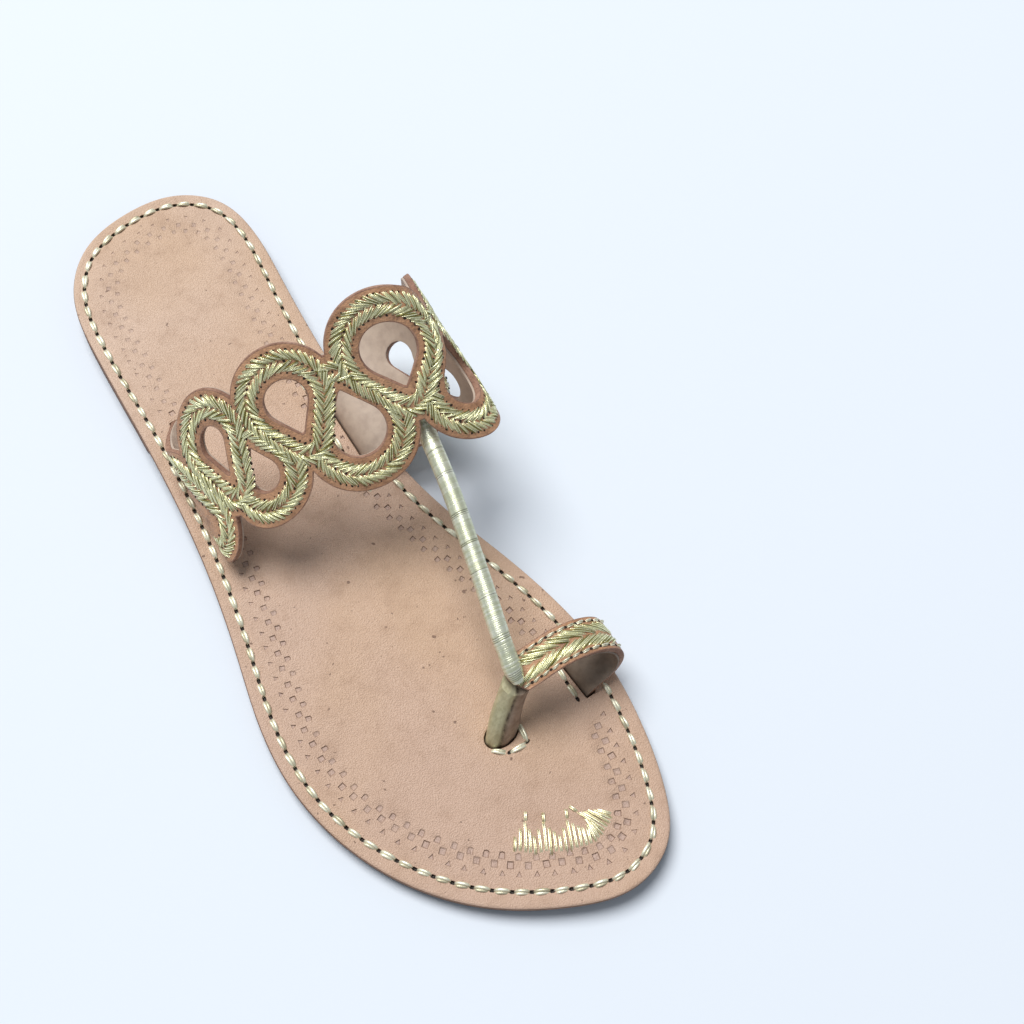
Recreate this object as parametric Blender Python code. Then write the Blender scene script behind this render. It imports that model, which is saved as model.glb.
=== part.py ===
"""A kolhapuri chappal for the right foot: a leather sole with a slotted footbed and a heel lift, a
pierced and embroidered instep band, a wrapped cord, a toe post and a big-toe loop.

Metres, +Z up. The floor is Z = 0, the toe points to -Y and the inner side is +X. The tables and the
shaping below are in millimetres, and finish_piece() turns each finished mesh into metres.
"""

import math

import bmesh
import bpy
import numpy as np
from mathutils import Vector

MM = 0.001

# The sole, in millimetres. Heights are above the floor.
OUTSOLE_THICK = 2.8
FOOTBED_THICK = 2.0
LIFT_THICK = 2.8
CLEARANCE = 0.3  # between pieces that are glued or sewn to each other
SLOT_PLAY = 0.5  # round a strap's end, which is still curving as it enters its slot
SIDE_STEP = 0.4  # how far the outsole and the lift stand back from the footbed's edge
TOE_SPRING = 2.2
SPRING_START = -86.0  # in front of this the sole leaves the floor
TOE_TIP = -125.0
RAMP_START = -15.0  # from here the sole rises to sit on the lift
RAMP_END = 54.0
HEEL_FRONT = 55.8  # the lift's front edge
BEND_STEP = 8.0  # spacing of the cuts that let a flat cut-out bend
EDGE_STEP = 5.0  # spacing of the points round the sole
CENTRE_SHIFT = 8.6  # brings the widest points, footbed and band, to the same distance from X = 0

# The band and the loop: leather with a lining, and strips of metal thread raised on it.
WALL = 2.4
THREAD_RAISE = 0.6
HOLE_MARGIN = 1.8  # bare leather between a thread strip and the hole inside it
STRIP_WIDTH = 6.4
OUTER_MARGIN = 1.6  # bare leather outside the strips
TIP_RADIUS = 1.3  # the point of a teardrop
LEAST_RADIUS = 0.4
CROWN = 0.12  # share of the growth that goes into reach instead of roundness, outside a lobe
CURVE_STEP = 3.5  # spacing of the cuts across the band and the loop
LOOP_WIDTH = 10.6
LOOP_STRIP_WIDTH = 7.6
CORD_RADIUS = 2.6
NECK_RADIUS = 1.5
POST_PLAY = 0.4  # round the post, whose slot is a polygon
POST_STEP = 2.6
CORD_STEP = 4.0
TAB_FADE = 6  # rings over which the flat tab turns level

# The sole's outline, from the toe tip back along the inner side, round the heel and forward again.
# Columns: across, along.
OUTLINE = (
    (-2.0, TOE_TIP),
    (12.8, -120.2),
    (20.4, -110.0),
    (27.9, -90.0),
    (31.5, -68.0),
    (30.6, -50.0),
    (27.0, -30.0),
    (22.2, -10.0),
    (19.1, 11.0),
    (19.4, 32.0),
    (21.8, 55.0),
    (25.6, 80.0),
    (28.1, 100.0),
    (25.6, 113.0),
    (15.5, 122.4),
    (-0.5, 125.0),
    (-17.6, 120.6),
    (-28.6, 108.8),
    (-33.6, 90.0),
    (-36.5, 66.0),
    (-39.9, 40.0),
    (-44.6, 15.0),
    (-51.5, -10.0),
    (-57.7, -30.0),
    (-60.6, -50.0),
    (-58.4, -69.0),
    (-51.0, -88.0),
    (-38.6, -104.6),
    (-19.6, -118.8),
)

# The band's middle line from the outer slot over the instep to the inner slot. The first two and the
# last two rows stand upright in the footbed's slots. Tilt lifts the heel side of the band, and lean
# swings that side inwards.
RIBBON_COLUMNS = ("across", "along", "height", "tilt", "lean")
BAND = (
    (-30.3, 37.5, 5.9, 2.5, 0.17),
    (-30.3, 37.5, 7.9, 2.5, 0.17),
    (-36.2, 29.5, 14.0, 9.0, 0.10),
    (-29.5, 26.6, 28.5, 25.0, 0.05),
    (-12.2, 22.0, 43.4, 36.5, 0.0),
    (13.0, 16.8, 51.2, 40.0, 0.0),
    (31.6, 13.4, 54.6, 34.0, 0.0),
    (36.6, 16.8, 49.8, 21.5, 0.0),
    (40.0, 18.9, 41.7, 13.0, 0.02),
    (39.8, 22.8, 26.2, 9.0, 0.03),
    (26.5, 27.0, 14.4, 4.0, 0.05),
    (13.6, 31.0, 8.6, 2.5, 0.07),
    (13.4, 31.0, 5.6, 2.5, 0.07),
)
BAND_HEEL_HALF = 20.0  # the band's reach towards the heel and the toe, where it enters the slots
BAND_TOE_HALF = 17.5
PATTERN_CENTRE = 89.0  # along the band, from the outer end

# The teardrops, from the middle one outwards on both sides. Side is +1 where the round lobe is at the
# heel edge of the band. The reaches place the lobe's and the tip's centres from the middle line.
# Columns: offset, side, lobe radius, lobe reach, tip reach.
TEARDROPS = (
    (0.0, 1, 9.3, 8.1, 4.2),
    (16.5, -1, 9.3, 8.7, 4.4),
    (30.1, 1, 7.6, 7.6, 3.6),
    (45.2, -1, 6.5, 6.8, 2.5),
    (54.8, 1, 6.0, 8.8, 2.7),
)

# The unpierced panel at each end of the band, as the circles that its outline is drawn tight round.
# Columns: from the end, across the band, radius.
END_PANEL = (
    (9.2, 10.5, 1.5),
    (14.0, 9.0, 1.5),
    (18.0, -6.0, 3.8),
    (9.0, -8.0, 1.8),
)
THREAD_START = 3.2  # the raised strips start this far from the band's end, clear of the slot
TONGUE_LENGTH = 9.0  # straight-sided stretch at each end, down into the slot
CUT_REACH = 60.0  # how far cutters run past the flat pattern, and half their height
CUT_HALF = 5.0

# The loop's middle line from the toe post, over the big toe and down into its slot, in RIBBON_COLUMNS.
LOOP = (
    (-1.6, -62.0, 22.2, 9.0, 0.12),
    (5.3, -63.2, 23.0, 9.0, 0.12),
    (12.0, -63.7, 24.7, 8.0, 0.10),
    (19.1, -64.6, 25.2, 7.0, 0.08),
    (26.0, -66.2, 23.0, 5.0, 0.06),
    (30.7, -68.2, 18.3, 3.0, 0.04),
    (31.2, -69.8, 13.4, 1.0, 0.02),
    (28.2, -70.6, 9.4, 0.0, 0.0),
    (23.4, -70.8, 8.0, 0.0, 0.0),
    (21.2, -70.8, 5.4, 0.0, 0.0),
    (21.2, -70.8, 3.2, 0.0, 0.0),
)
LOOP_TIP = 2.4  # radius of the loop's tapered end, on the toe post
LOOP_TAPER = 8.5  # the loop has its full width from here
LOOP_CORNER = 0.8
LOOP_THREAD = (6.0, 37.0)  # the raised strip's stretch along the loop
THREAD_TAPER = 3.0
THREAD_CORNER = 1.0

# The toe post: level ovals from the underside of the footbed up to the loop.
POST_COLUMNS = ("across", "along", "height", "half_width", "half_depth", "rise")
POST = (
    (-6.1, -70.6, 3.2, 4.9, 3.2, 0.0),
    (-6.1, -70.6, 5.1, 4.9, 3.2, 0.0),
    (-5.0, -69.6, 8.0, 5.0, 3.4, 0.03),
    (-3.2, -67.8, 12.0, 4.8, 3.5, 0.07),
    (-0.4, -65.7, 16.5, 4.5, 3.5, 0.11),
    (2.0, -63.8, 20.4, 4.2, 3.4, 0.14),
)
NECK_FOOT = 17.4  # inside the post
NECK_TOP = 23.6
NECK_CUT = 8.0  # half the height of the cutter for the neck's hole in the loop

# The cord below the band. Its first rows, the flat tab under the band, follow the band itself.
# Columns: across, along, height, half width, half height.
CORD = (
    (20.8, 4.4, 39.0, CORD_RADIUS, CORD_RADIUS),
    (18.6, -4.0, 37.5, CORD_RADIUS, CORD_RADIUS),
    (15.5, -15.6, 36.1, CORD_RADIUS, CORD_RADIUS),
    (11.5, -28.9, 33.6, CORD_RADIUS, CORD_RADIUS),
    (7.3, -42.5, 31.0, CORD_RADIUS, CORD_RADIUS),
    (3.6, -54.0, 28.8, CORD_RADIUS, CORD_RADIUS),
    (1.6, -61.4, 26.9, CORD_RADIUS, CORD_RADIUS),
    (0.9, -64.2, 26.3, 2.3, 2.2),
    (0.7, -65.6, 26.1, 1.4, 1.3),
)
# The tab's columns: across the band, half width, half height.
CORD_TAB = (
    (-1.0, 3.4, 0.9),
    (-6.0, 3.5, 1.1),
    (-10.5, 3.1, 2.0),
)
CORD_PLACE = 89.5  # along the band


def spline_values(rows, places):
    """A natural cubic spline through a table's rows, read at distances along its straight segments."""
    rows = np.asarray(rows, float)
    spans = np.linalg.norm(np.diff(rows[:, :3], axis=0), axis=1)
    knots = np.concatenate([[0.0], np.cumsum(spans)])
    size = len(rows)
    system = np.eye(size)
    bend = np.zeros_like(rows)
    for i in range(1, size - 1):
        system[i, i - 1 : i + 2] = spans[i - 1], 2 * (spans[i - 1] + spans[i]), spans[i]
        rise = (rows[i + 1] - rows[i]) / spans[i] - (rows[i] - rows[i - 1]) / spans[i - 1]
        bend[i] = 6 * rise
    second = np.linalg.solve(system, bend)
    places = np.asarray(places, float) * knots[-1]
    cell = np.clip(np.searchsorted(knots, places) - 1, 0, size - 2)
    width = spans[cell][:, None]
    before = (knots[cell + 1] - places)[:, None] / width
    after = 1 - before
    cubic = (before**3 - before) * second[cell] + (after**3 - after) * second[cell + 1]
    return before * rows[cell] + after * rows[cell + 1] + cubic * width**2 / 6


def even_points(points, step):
    """The same open line with its points a step apart."""
    points = np.asarray(points, float)
    run = np.concatenate([[0.0], np.cumsum(np.linalg.norm(np.diff(points[:, :3], axis=0), axis=1))])
    places = np.linspace(0.0, run[-1], max(2, round(run[-1] / step) + 1))
    return np.stack([np.interp(places, run, column) for column in points.T], axis=1)


def sole_outline(inset=0.0):
    """The sole's outline as a closed ring of points, moved in by an inset."""
    wrap = 4
    rows = np.array(OUTLINE[-wrap:] + OUTLINE + OUTLINE[: wrap + 1], float)
    fine = spline_values(rows, np.linspace(0.0, 1.0, 1500))
    first = np.argmin(np.linalg.norm(fine[:700] - rows[wrap], axis=1))
    last = 800 + np.argmin(np.linalg.norm(fine[800:] - rows[wrap], axis=1))
    ring = even_points(fine[first : last + 1], EDGE_STEP)[:-1]
    along = np.roll(ring, -1, axis=0) - np.roll(ring, 1, axis=0)
    along /= np.linalg.norm(along, axis=1)[:, None]
    inward = np.stack([-along[:, 1], along[:, 0]], axis=1)
    return ring + inward * inset


def sole_rise(along):
    """Height of the outsole's underside: flat under the ball, up to the lift, and up at the toe."""
    along = np.asarray(along, float)
    ramp = np.clip((along - RAMP_START) / (RAMP_END - RAMP_START), 0.0, 1.0)
    heel = (LIFT_THICK + CLEARANCE) * ramp**2 * (3 - 2 * ramp)
    toe = np.clip((SPRING_START - along) / (SPRING_START - TOE_TIP), 0.0, 1.0)
    return heel + TOE_SPRING * toe**2


def raised(points, seat=0.0):
    """Flat points bent to the sole's side profile, a seat above the outsole's underside."""
    lifted = points.copy()
    lifted[:, 2] += sole_rise(points[:, 1]) + seat
    return lifted


def new_object(name, mesh):
    made = bpy.data.objects.new(name, mesh)
    bpy.context.scene.collection.objects.link(made)
    return made


def prism(name, outline, low, high):
    """A plate: the outline, seen from above and anticlockwise, between two heights."""
    outline = np.asarray(outline, float)
    turned = np.roll(outline, -1, axis=0)
    if (outline[:, 0] * turned[:, 1] - turned[:, 0] * outline[:, 1]).sum() < 0:
        outline = outline[::-1]
    shape = bmesh.new()
    bottom = [shape.verts.new((x, y, low)) for x, y in outline]
    top = [shape.verts.new((x, y, high)) for x, y in outline]
    shape.faces.new(bottom[::-1])
    shape.faces.new(top)
    for i in range(len(bottom)):
        j = (i + 1) % len(bottom)
        shape.faces.new((bottom[i], bottom[j], top[j], top[i]))
    mesh = bpy.data.meshes.new(name)
    shape.to_mesh(mesh)
    shape.free()
    return new_object(name, mesh)


def combine(target, operation, others):
    """Joins or cuts the target with each of the others in turn, and removes them."""
    for other in others:
        other.hide_render = True
        other.display_type = "WIRE"
        step = target.modifiers.new(operation.lower(), "BOOLEAN")
        step.operation = operation
        step.solver = "EXACT"
        step.object = other
    graph = bpy.context.evaluated_depsgraph_get()
    mesh = bpy.data.meshes.new_from_object(target.evaluated_get(graph))
    target.modifiers.clear()
    target.data = mesh
    for other in others:
        bpy.data.objects.remove(other)
    return target


def cut_across(made, axis, step):
    """Cuts a mesh at even steps along an axis, so that it can bend there."""
    shape = bmesh.new()
    shape.from_mesh(made.data)
    values = [vertex.co[axis] for vertex in shape.verts]
    normal = Vector((0.0, 0.0, 0.0))
    normal[axis] = 1.0
    for i in range(math.floor(min(values) / step) + 1, math.ceil(max(values) / step)):
        everything = shape.verts[:] + shape.edges[:] + shape.faces[:]
        place = normal * (i * step)
        bmesh.ops.bisect_plane(shape, geom=everything, dist=1e-4, plane_co=place, plane_no=normal)
    bmesh.ops.triangulate(shape, faces=shape.faces[:])
    shape.to_mesh(made.data)
    shape.free()


def reshape(made, rule):
    """Moves every vertex of a mesh by a rule that takes and returns an array of points."""
    points = np.empty(len(made.data.vertices) * 3)
    made.data.vertices.foreach_get("co", points)
    made.data.vertices.foreach_set("co", np.asarray(rule(points.reshape(-1, 3))).ravel())
    made.data.update()


def tight_outline(circles, grow=0.0, sides=26):
    """The outline drawn tight round some circles, each made larger by grow."""
    turn = np.arange(sides) * 2 * math.pi / sides
    points = set()
    for along, across, radius in circles:
        xs = along + (radius + grow) * np.cos(turn)
        ys = across + (radius + grow) * np.sin(turn)
        points.update(zip(np.round(xs, 4), np.round(ys, 4)))
    points = sorted(points)

    def chain(ordered):
        kept = []
        for point in ordered:
            while len(kept) > 1:
                (ax, ay), (bx, by) = kept[-2], kept[-1]
                if (bx - ax) * (point[1] - ay) - (by - ay) * (point[0] - ax) > 1e-6:
                    break
                kept.pop()
            kept.append(point)
        return kept[:-1]

    return chain(points) + chain(points[::-1])


def grown(circles, grow):
    """A teardrop's two circles made larger or smaller, its tip drawn back where it would vanish."""
    (along, lobe, large), (_, tip, small) = circles
    if grow > 0:
        crown = CROWN * grow
        return [(along, lobe + math.copysign(crown, lobe), large + grow - crown), (along, tip, small + grow)]
    share = (large + grow - LEAST_RADIUS) / (large - small)
    return [(along, lobe, large + grow), (along, lobe + share * (tip - lobe), LEAST_RADIUS)]


class Ribbon:
    """A curved strap: takes flat points (along, across, out) to their place on its middle line."""

    def __init__(self, rows):
        fine = spline_values(rows, np.linspace(0.0, 1.0, 400))
        self.line = fine[:, :3]
        steps = np.linalg.norm(np.diff(self.line, axis=0), axis=1)
        self.run = np.concatenate([[0.0], np.cumsum(steps)])
        self.length = self.run[-1]
        tilt = np.radians(fine[:, RIBBON_COLUMNS.index("tilt")])
        lean = fine[:, RIBBON_COLUMNS.index("lean")]
        side = np.stack([lean, np.cos(tilt), np.sin(tilt)], axis=1)
        self.side = side / np.linalg.norm(side, axis=1)[:, None]
        ahead = np.gradient(self.line, self.run, axis=0)
        out = np.cross(ahead, self.side)
        self.out = out / np.linalg.norm(out, axis=1)[:, None]

    def read(self, table, along):
        return np.stack([np.interp(along, self.run, column) for column in table.T], axis=1)

    def place(self, points):
        along, across, out = np.asarray(points, float).T
        side = self.read(self.side, along) * across[:, None]
        return self.read(self.line, along) + side + self.read(self.out, along) * out[:, None]


def loft(name, centres, sides, ups):
    """A closed tube through ovals: each has a centre and two half axes, given as vectors."""
    corners = 14
    shape = bmesh.new()
    rings = []
    for centre, side, up in zip(centres, sides, ups):
        ring = []
        for i in range(corners):
            turn = 2 * math.pi * i / corners
            ring.append(shape.verts.new(centre + side * math.cos(turn) + up * math.sin(turn)))
        rings.append(ring)
    for low, high in zip(rings, rings[1:]):
        for i in range(corners):
            j = (i + 1) % corners
            shape.faces.new((low[i], low[j], high[j], high[i]))
    shape.faces.new(rings[0][::-1])
    shape.faces.new(rings[-1])
    bmesh.ops.recalc_face_normals(shape, faces=shape.faces[:])
    mesh = bpy.data.meshes.new(name)
    shape.to_mesh(mesh)
    shape.free()
    return new_object(name, mesh)


def plain_material(name, colour, roughness, metallic=0.0):
    material = bpy.data.materials.new(name)
    material.use_nodes = True
    surface = material.node_tree.nodes["Principled BSDF"]
    surface.inputs["Base Color"].default_value = (*colour, 1.0)
    surface.inputs["Roughness"].default_value = roughness
    surface.inputs["Metallic"].default_value = metallic
    return material


def finish_piece(made, material):
    """Takes a piece from millimetres to metres at its place on X, and gives it its material."""
    reshape(made, lambda points: (points + (CENTRE_SHIFT, 0.0, 0.0)) * MM)
    made.data.materials.clear()
    made.data.materials.append(material)
    made.data.shade_smooth()
    made.data.set_sharp_from_angle(angle=math.radians(35))


def end_slot(name, row, heel_half, toe_half):
    """The cutter for the upright slot that a strap's end stands in."""
    place = dict(zip(RIBBON_COLUMNS, row))
    centre = np.array([place["across"], place["along"]])
    along = np.array([place["lean"], 1.0])
    along /= np.linalg.norm(along)
    across = np.array([along[1], -along[0]]) * (WALL / 2 + SLOT_PLAY)
    heel = centre + along * (heel_half + SLOT_PLAY)
    toe = centre - along * (toe_half + SLOT_PLAY)
    corners = (toe - across, toe + across, heel + across, heel - across)
    return prism(name, corners, -1.0, FOOTBED_THICK + 1.0)


def oval(centre, half_width, half_depth, sides=24):
    turn = np.arange(sides) * 2 * math.pi / sides
    xs = centre[0] + half_width * np.cos(turn)
    ys = centre[1] + half_depth * np.sin(turn)
    return np.stack([xs, ys], axis=1)


def make_footbed(material):
    """The tan leather that the foot stands on, with a slot for each strap end and for the post."""
    footbed = prism("footbed", sole_outline(), 0.0, FOOTBED_THICK)
    base = dict(zip(POST_COLUMNS, POST[0]))
    seat_oval = oval(POST[0], base["half_width"] + POST_PLAY, base["half_depth"] + POST_PLAY)
    cutters = [
        end_slot("outer_slot", BAND[0], BAND_HEEL_HALF, BAND_TOE_HALF),
        end_slot("inner_slot", BAND[-1], BAND_HEEL_HALF, BAND_TOE_HALF),
        end_slot("loop_slot", LOOP[-1], LOOP_WIDTH / 2, LOOP_WIDTH / 2),
        prism("post_slot", seat_oval, -1.0, FOOTBED_THICK + 1.0),
    ]
    combine(footbed, "DIFFERENCE", cutters)
    cut_across(footbed, 1, BEND_STEP)
    reshape(footbed, lambda points: raised(points, OUTSOLE_THICK + CLEARANCE))
    finish_piece(footbed, material)


def make_outsole(material):
    """The dark sole leather, bent up at the toe and over the heel lift."""
    outsole = prism("outsole", sole_outline(SIDE_STEP), 0.0, OUTSOLE_THICK)
    cut_across(outsole, 1, BEND_STEP)
    reshape(outsole, raised)
    finish_piece(outsole, material)


def make_heel_lift(material):
    """One flat lift of sole leather under the heel, cut straight across at its front."""
    lift = prism("heel_lift", sole_outline(SIDE_STEP), 0.0, LIFT_THICK)
    far = 200.0
    front = ((-far, -far), (far, -far), (far, HEEL_FRONT), (-far, HEEL_FRONT))
    combine(lift, "DIFFERENCE", [prism("lift_front", front, -1.0, LIFT_THICK + 1.0)])
    finish_piece(lift, material)


def slab(name, start, stop):
    """A cutter across the band's flat pattern, from one place along it to another."""
    corners = ((start, -CUT_REACH), (stop, -CUT_REACH), (stop, CUT_REACH), (start, CUT_REACH))
    return prism(name, corners, -CUT_HALF, CUT_HALF)


def band_cells(length):
    """The teardrops and the two end panels, as circles in the band's flat pattern."""
    drops = []
    for offset, side, lobe_radius, lobe_reach, tip_reach in TEARDROPS:
        for place in sorted({PATTERN_CENTRE - offset, PATTERN_CENTRE + offset}):
            drops.append([(place, side * lobe_reach, lobe_radius), (place, -side * tip_reach, TIP_RADIUS)])
    panels = [
        list(END_PANEL),
        [(length - from_end, across, radius) for from_end, across, radius in END_PANEL],
    ]
    return drops, panels


def make_band(band, material):
    """The instep band: one leather wall with teardrop holes, and the thread strips raised on it."""
    drops, panels = band_cells(band.length)
    low, high = -WALL / 2, WALL / 2
    edge = STRIP_WIDTH + OUTER_MARGIN
    outlines = [tight_outline(grown(drop, edge)) for drop in drops]
    outlines += [tight_outline(panel, edge) for panel in panels]
    tongues = [
        ((start, -BAND_TOE_HALF), (stop, -BAND_TOE_HALF), (stop, BAND_HEEL_HALF), (start, BAND_HEEL_HALF))
        for start, stop in ((0.0, TONGUE_LENGTH), (band.length - TONGUE_LENGTH, band.length))
    ]
    plates = [prism(f"plate_{i}", outline, low, high) for i, outline in enumerate(outlines)]
    ends = [prism(f"tongue_{i}", outline, low, high) for i, outline in enumerate(tongues)]
    wall = combine(plates[0], "UNION", plates[1:] + ends)
    wall.name = "instep_band"
    beyond = band.length + CUT_REACH
    trims = [slab("trim_outer", -CUT_REACH, 0.0), slab("trim_inner", band.length, beyond)]
    combine(wall, "DIFFERENCE", trims)

    strips = [tight_outline(grown(drop, STRIP_WIDTH)) for drop in drops]
    strips += [tight_outline(panel, STRIP_WIDTH) for panel in panels]
    sunk, proud = 0.0, high + THREAD_RAISE
    solid = [prism(f"strip_{i}", outline, sunk, proud) for i, outline in enumerate(strips)]
    thread = combine(solid[0], "UNION", solid[1:])
    inner = [tight_outline(drop) for drop in drops] + [tight_outline(panel) for panel in panels]
    cuts = [prism(f"inside_{i}", outline, -CUT_HALF, CUT_HALF) for i, outline in enumerate(inner)]
    cuts.append(slab("thread_start", -CUT_REACH, THREAD_START))
    cuts.append(slab("thread_stop", band.length - THREAD_START, beyond))
    combine(thread, "DIFFERENCE", cuts)
    combine(wall, "UNION", [thread])

    holes = [tight_outline(grown(drop, -HOLE_MARGIN)) for drop in drops]
    punches = [prism(f"hole_{i}", outline, -CUT_HALF, CUT_HALF) for i, outline in enumerate(holes)]
    combine(wall, "DIFFERENCE", punches)
    cut_across(wall, 0, CURVE_STEP)
    reshape(wall, band.place)
    finish_piece(wall, material)


def make_loop(loop, material):
    """The big-toe strap, tapered on the post and pierced there for the post's neck."""
    half = LOOP_WIDTH / 2
    reach = half - LOOP_CORNER
    taper = [(LOOP_TIP, 0.0, LOOP_TIP)]
    taper += [(LOOP_TAPER, across, LOOP_CORNER) for across in (reach, -reach)]
    strap = prism("toe_loop", tight_outline(taper), -WALL / 2, WALL / 2)
    body = ((LOOP_TAPER, -half), (loop.length, -half), (loop.length, half), (LOOP_TAPER, half))
    start, stop = LOOP_THREAD
    start += THREAD_CORNER
    reach = LOOP_STRIP_WIDTH / 2 - THREAD_CORNER
    strip = [(start, 0.0, THREAD_CORNER)]
    for along in (start + THREAD_TAPER, stop):
        strip += [(along, across, THREAD_CORNER) for across in (reach, -reach)]
    layers = [
        prism("strap_body", body, -WALL / 2, WALL / 2),
        prism("strap_thread", tight_outline(strip), 0.0, WALL / 2 + THREAD_RAISE),
    ]
    combine(strap, "UNION", layers)
    cut_across(strap, 0, CURVE_STEP / 2)
    reshape(strap, loop.place)
    hole = oval(POST[-1], NECK_RADIUS + CLEARANCE, NECK_RADIUS + CLEARANCE, 16)
    combine(strap, "DIFFERENCE", [prism("neck_hole", hole, NECK_TOP - NECK_CUT, NECK_TOP + NECK_CUT)])
    finish_piece(strap, material)


def make_post(material):
    """The leaning toe post, with the neck that holds the loop and the cord."""
    centres, sides, depths = [], [], []
    for values in even_points(spline_values(POST, np.linspace(0.0, 1.0, 120)), POST_STEP):
        row = dict(zip(POST_COLUMNS, values))
        centres.append(Vector((row["across"], row["along"], row["height"])))
        sides.append(Vector((row["half_width"], 0.0, 0.0)))
        depths.append(Vector((0.0, row["half_depth"], row["half_depth"] * row["rise"])))
    post = loft("toe_post", centres, sides, depths)
    neck = prism("neck", oval(POST[-1], NECK_RADIUS, NECK_RADIUS, 12), NECK_FOOT, NECK_TOP)
    combine(post, "UNION", [neck])
    finish_piece(post, material)


def make_cord(band, material):
    """The wrapped cord from its flat tab under the band to its round end on the loop."""
    tab = []
    for across, half_width, half_height in CORD_TAB:
        below = -(WALL / 2 + CLEARANCE + half_height)
        tab.append((*band.place([(CORD_PLACE, across, below)])[0], half_width, half_height))
    rows = even_points(spline_values(tab + list(CORD), np.linspace(0.0, 1.0, 300)), CORD_STEP)
    ahead = np.gradient(rows[:, :3], axis=0)
    ends = band.place([(CORD_PLACE - 1.0, 0.0, 0.0), (CORD_PLACE + 1.0, 0.0, 0.0)])
    under = (ends[1] - ends[0]) / 2.0
    centres, sides, ups = [], [], []
    for i, row in enumerate(rows):
        bank = max(0.0, 1.0 - i / TAB_FADE)
        side = under * bank + np.array([1.0, 0.0, 0.0]) * (1.0 - bank)
        up = np.cross(side, ahead[i])
        side = np.cross(ahead[i], up)
        centres.append(Vector(row[:3]))
        sides.append(Vector(side / np.linalg.norm(side) * row[3]))
        ups.append(Vector(up / np.linalg.norm(up) * row[4]))
    cord = loft("front_cord", centres, sides, ups)
    finish_piece(cord, material)


def main():
    for old in list(bpy.data.objects):
        bpy.data.objects.remove(old)
    band = Ribbon(BAND)
    loop = Ribbon(LOOP)
    make_footbed(plain_material("tan_leather", (0.56, 0.33, 0.17), 0.55))
    make_outsole(plain_material("dark_sole_leather", (0.11, 0.06, 0.035), 0.6))
    make_heel_lift(plain_material("lift_leather", (0.22, 0.13, 0.08), 0.65))
    make_band(band, plain_material("gold_thread_band", (0.72, 0.62, 0.33), 0.4, 0.6))
    make_loop(loop, plain_material("gold_thread_loop", (0.70, 0.60, 0.32), 0.4, 0.6))
    make_post(plain_material("gold_leather_post", (0.45, 0.38, 0.2), 0.45, 0.3))
    make_cord(band, plain_material("wrapped_cord", (0.8, 0.74, 0.5), 0.4, 0.6))


main()
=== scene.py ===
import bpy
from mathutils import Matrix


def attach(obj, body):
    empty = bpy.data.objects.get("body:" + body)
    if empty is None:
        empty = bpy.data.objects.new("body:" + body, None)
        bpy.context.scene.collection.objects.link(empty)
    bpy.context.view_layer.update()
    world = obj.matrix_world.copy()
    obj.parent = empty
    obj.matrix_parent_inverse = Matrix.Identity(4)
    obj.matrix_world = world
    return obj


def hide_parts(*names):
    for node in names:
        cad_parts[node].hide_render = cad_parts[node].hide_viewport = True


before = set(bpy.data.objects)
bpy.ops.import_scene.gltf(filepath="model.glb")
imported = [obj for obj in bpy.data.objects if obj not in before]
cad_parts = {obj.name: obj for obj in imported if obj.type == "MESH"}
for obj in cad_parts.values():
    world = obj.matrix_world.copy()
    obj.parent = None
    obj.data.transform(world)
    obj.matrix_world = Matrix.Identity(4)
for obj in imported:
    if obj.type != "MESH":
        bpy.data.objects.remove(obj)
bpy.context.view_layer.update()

import math

import bmesh
import bpy
import numpy as np
from mathutils import Matrix, Vector
from mathutils.geometry import delaunay_2d_cdt

# A kolhapuri chappal for the right foot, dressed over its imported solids.
# Tables and shaping are in millimetres, toe to -Y, inner side +X. toWorld() makes them metres.
mm = 0.001
centreShift = 8.6

sole = {
    "outsoleThick": 2.8,
    "footbedThick": 2.0,
    "liftThick": 2.8,
    "gap": 0.3,           # glue line between two layers
    "sideStep": 0.4,      # outsole and lift stand back from the footbed
    "toeSpring": 2.2,
    "springStart": -86.0,
    "toeTip": -125.0,
    "rampStart": -15.0,   # the sole climbs onto the heel lift between these two
    "rampEnd": 54.0,
    "heelFront": 55.8,
    "liftCorner": 0.9,    # bevel of the lift's two front corners
    "ringStep": 1.3,      # point spacing round the edge
}
# toe tip, back along the inner side, round the heel and forward again: across, along
soleRows = (
    (-2.0, -125.0), (12.8, -120.2), (20.4, -110.0), (27.9, -90.0), (31.5, -68.0),
    (30.6, -50.0), (27.0, -30.0), (22.2, -10.0), (19.1, 11.0), (19.4, 32.0),
    (21.8, 55.0), (25.6, 80.0), (28.1, 100.0), (25.6, 113.0), (15.5, 122.4),
    (-0.5, 125.0), (-17.6, 120.6), (-28.6, 108.8), (-33.6, 90.0), (-36.5, 66.0),
    (-39.9, 40.0), (-44.6, 15.0), (-51.5, -10.0), (-57.7, -30.0), (-60.6, -50.0),
    (-58.4, -69.0), (-51.0, -88.0), (-38.6, -104.6), (-19.6, -118.8),
)

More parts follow.
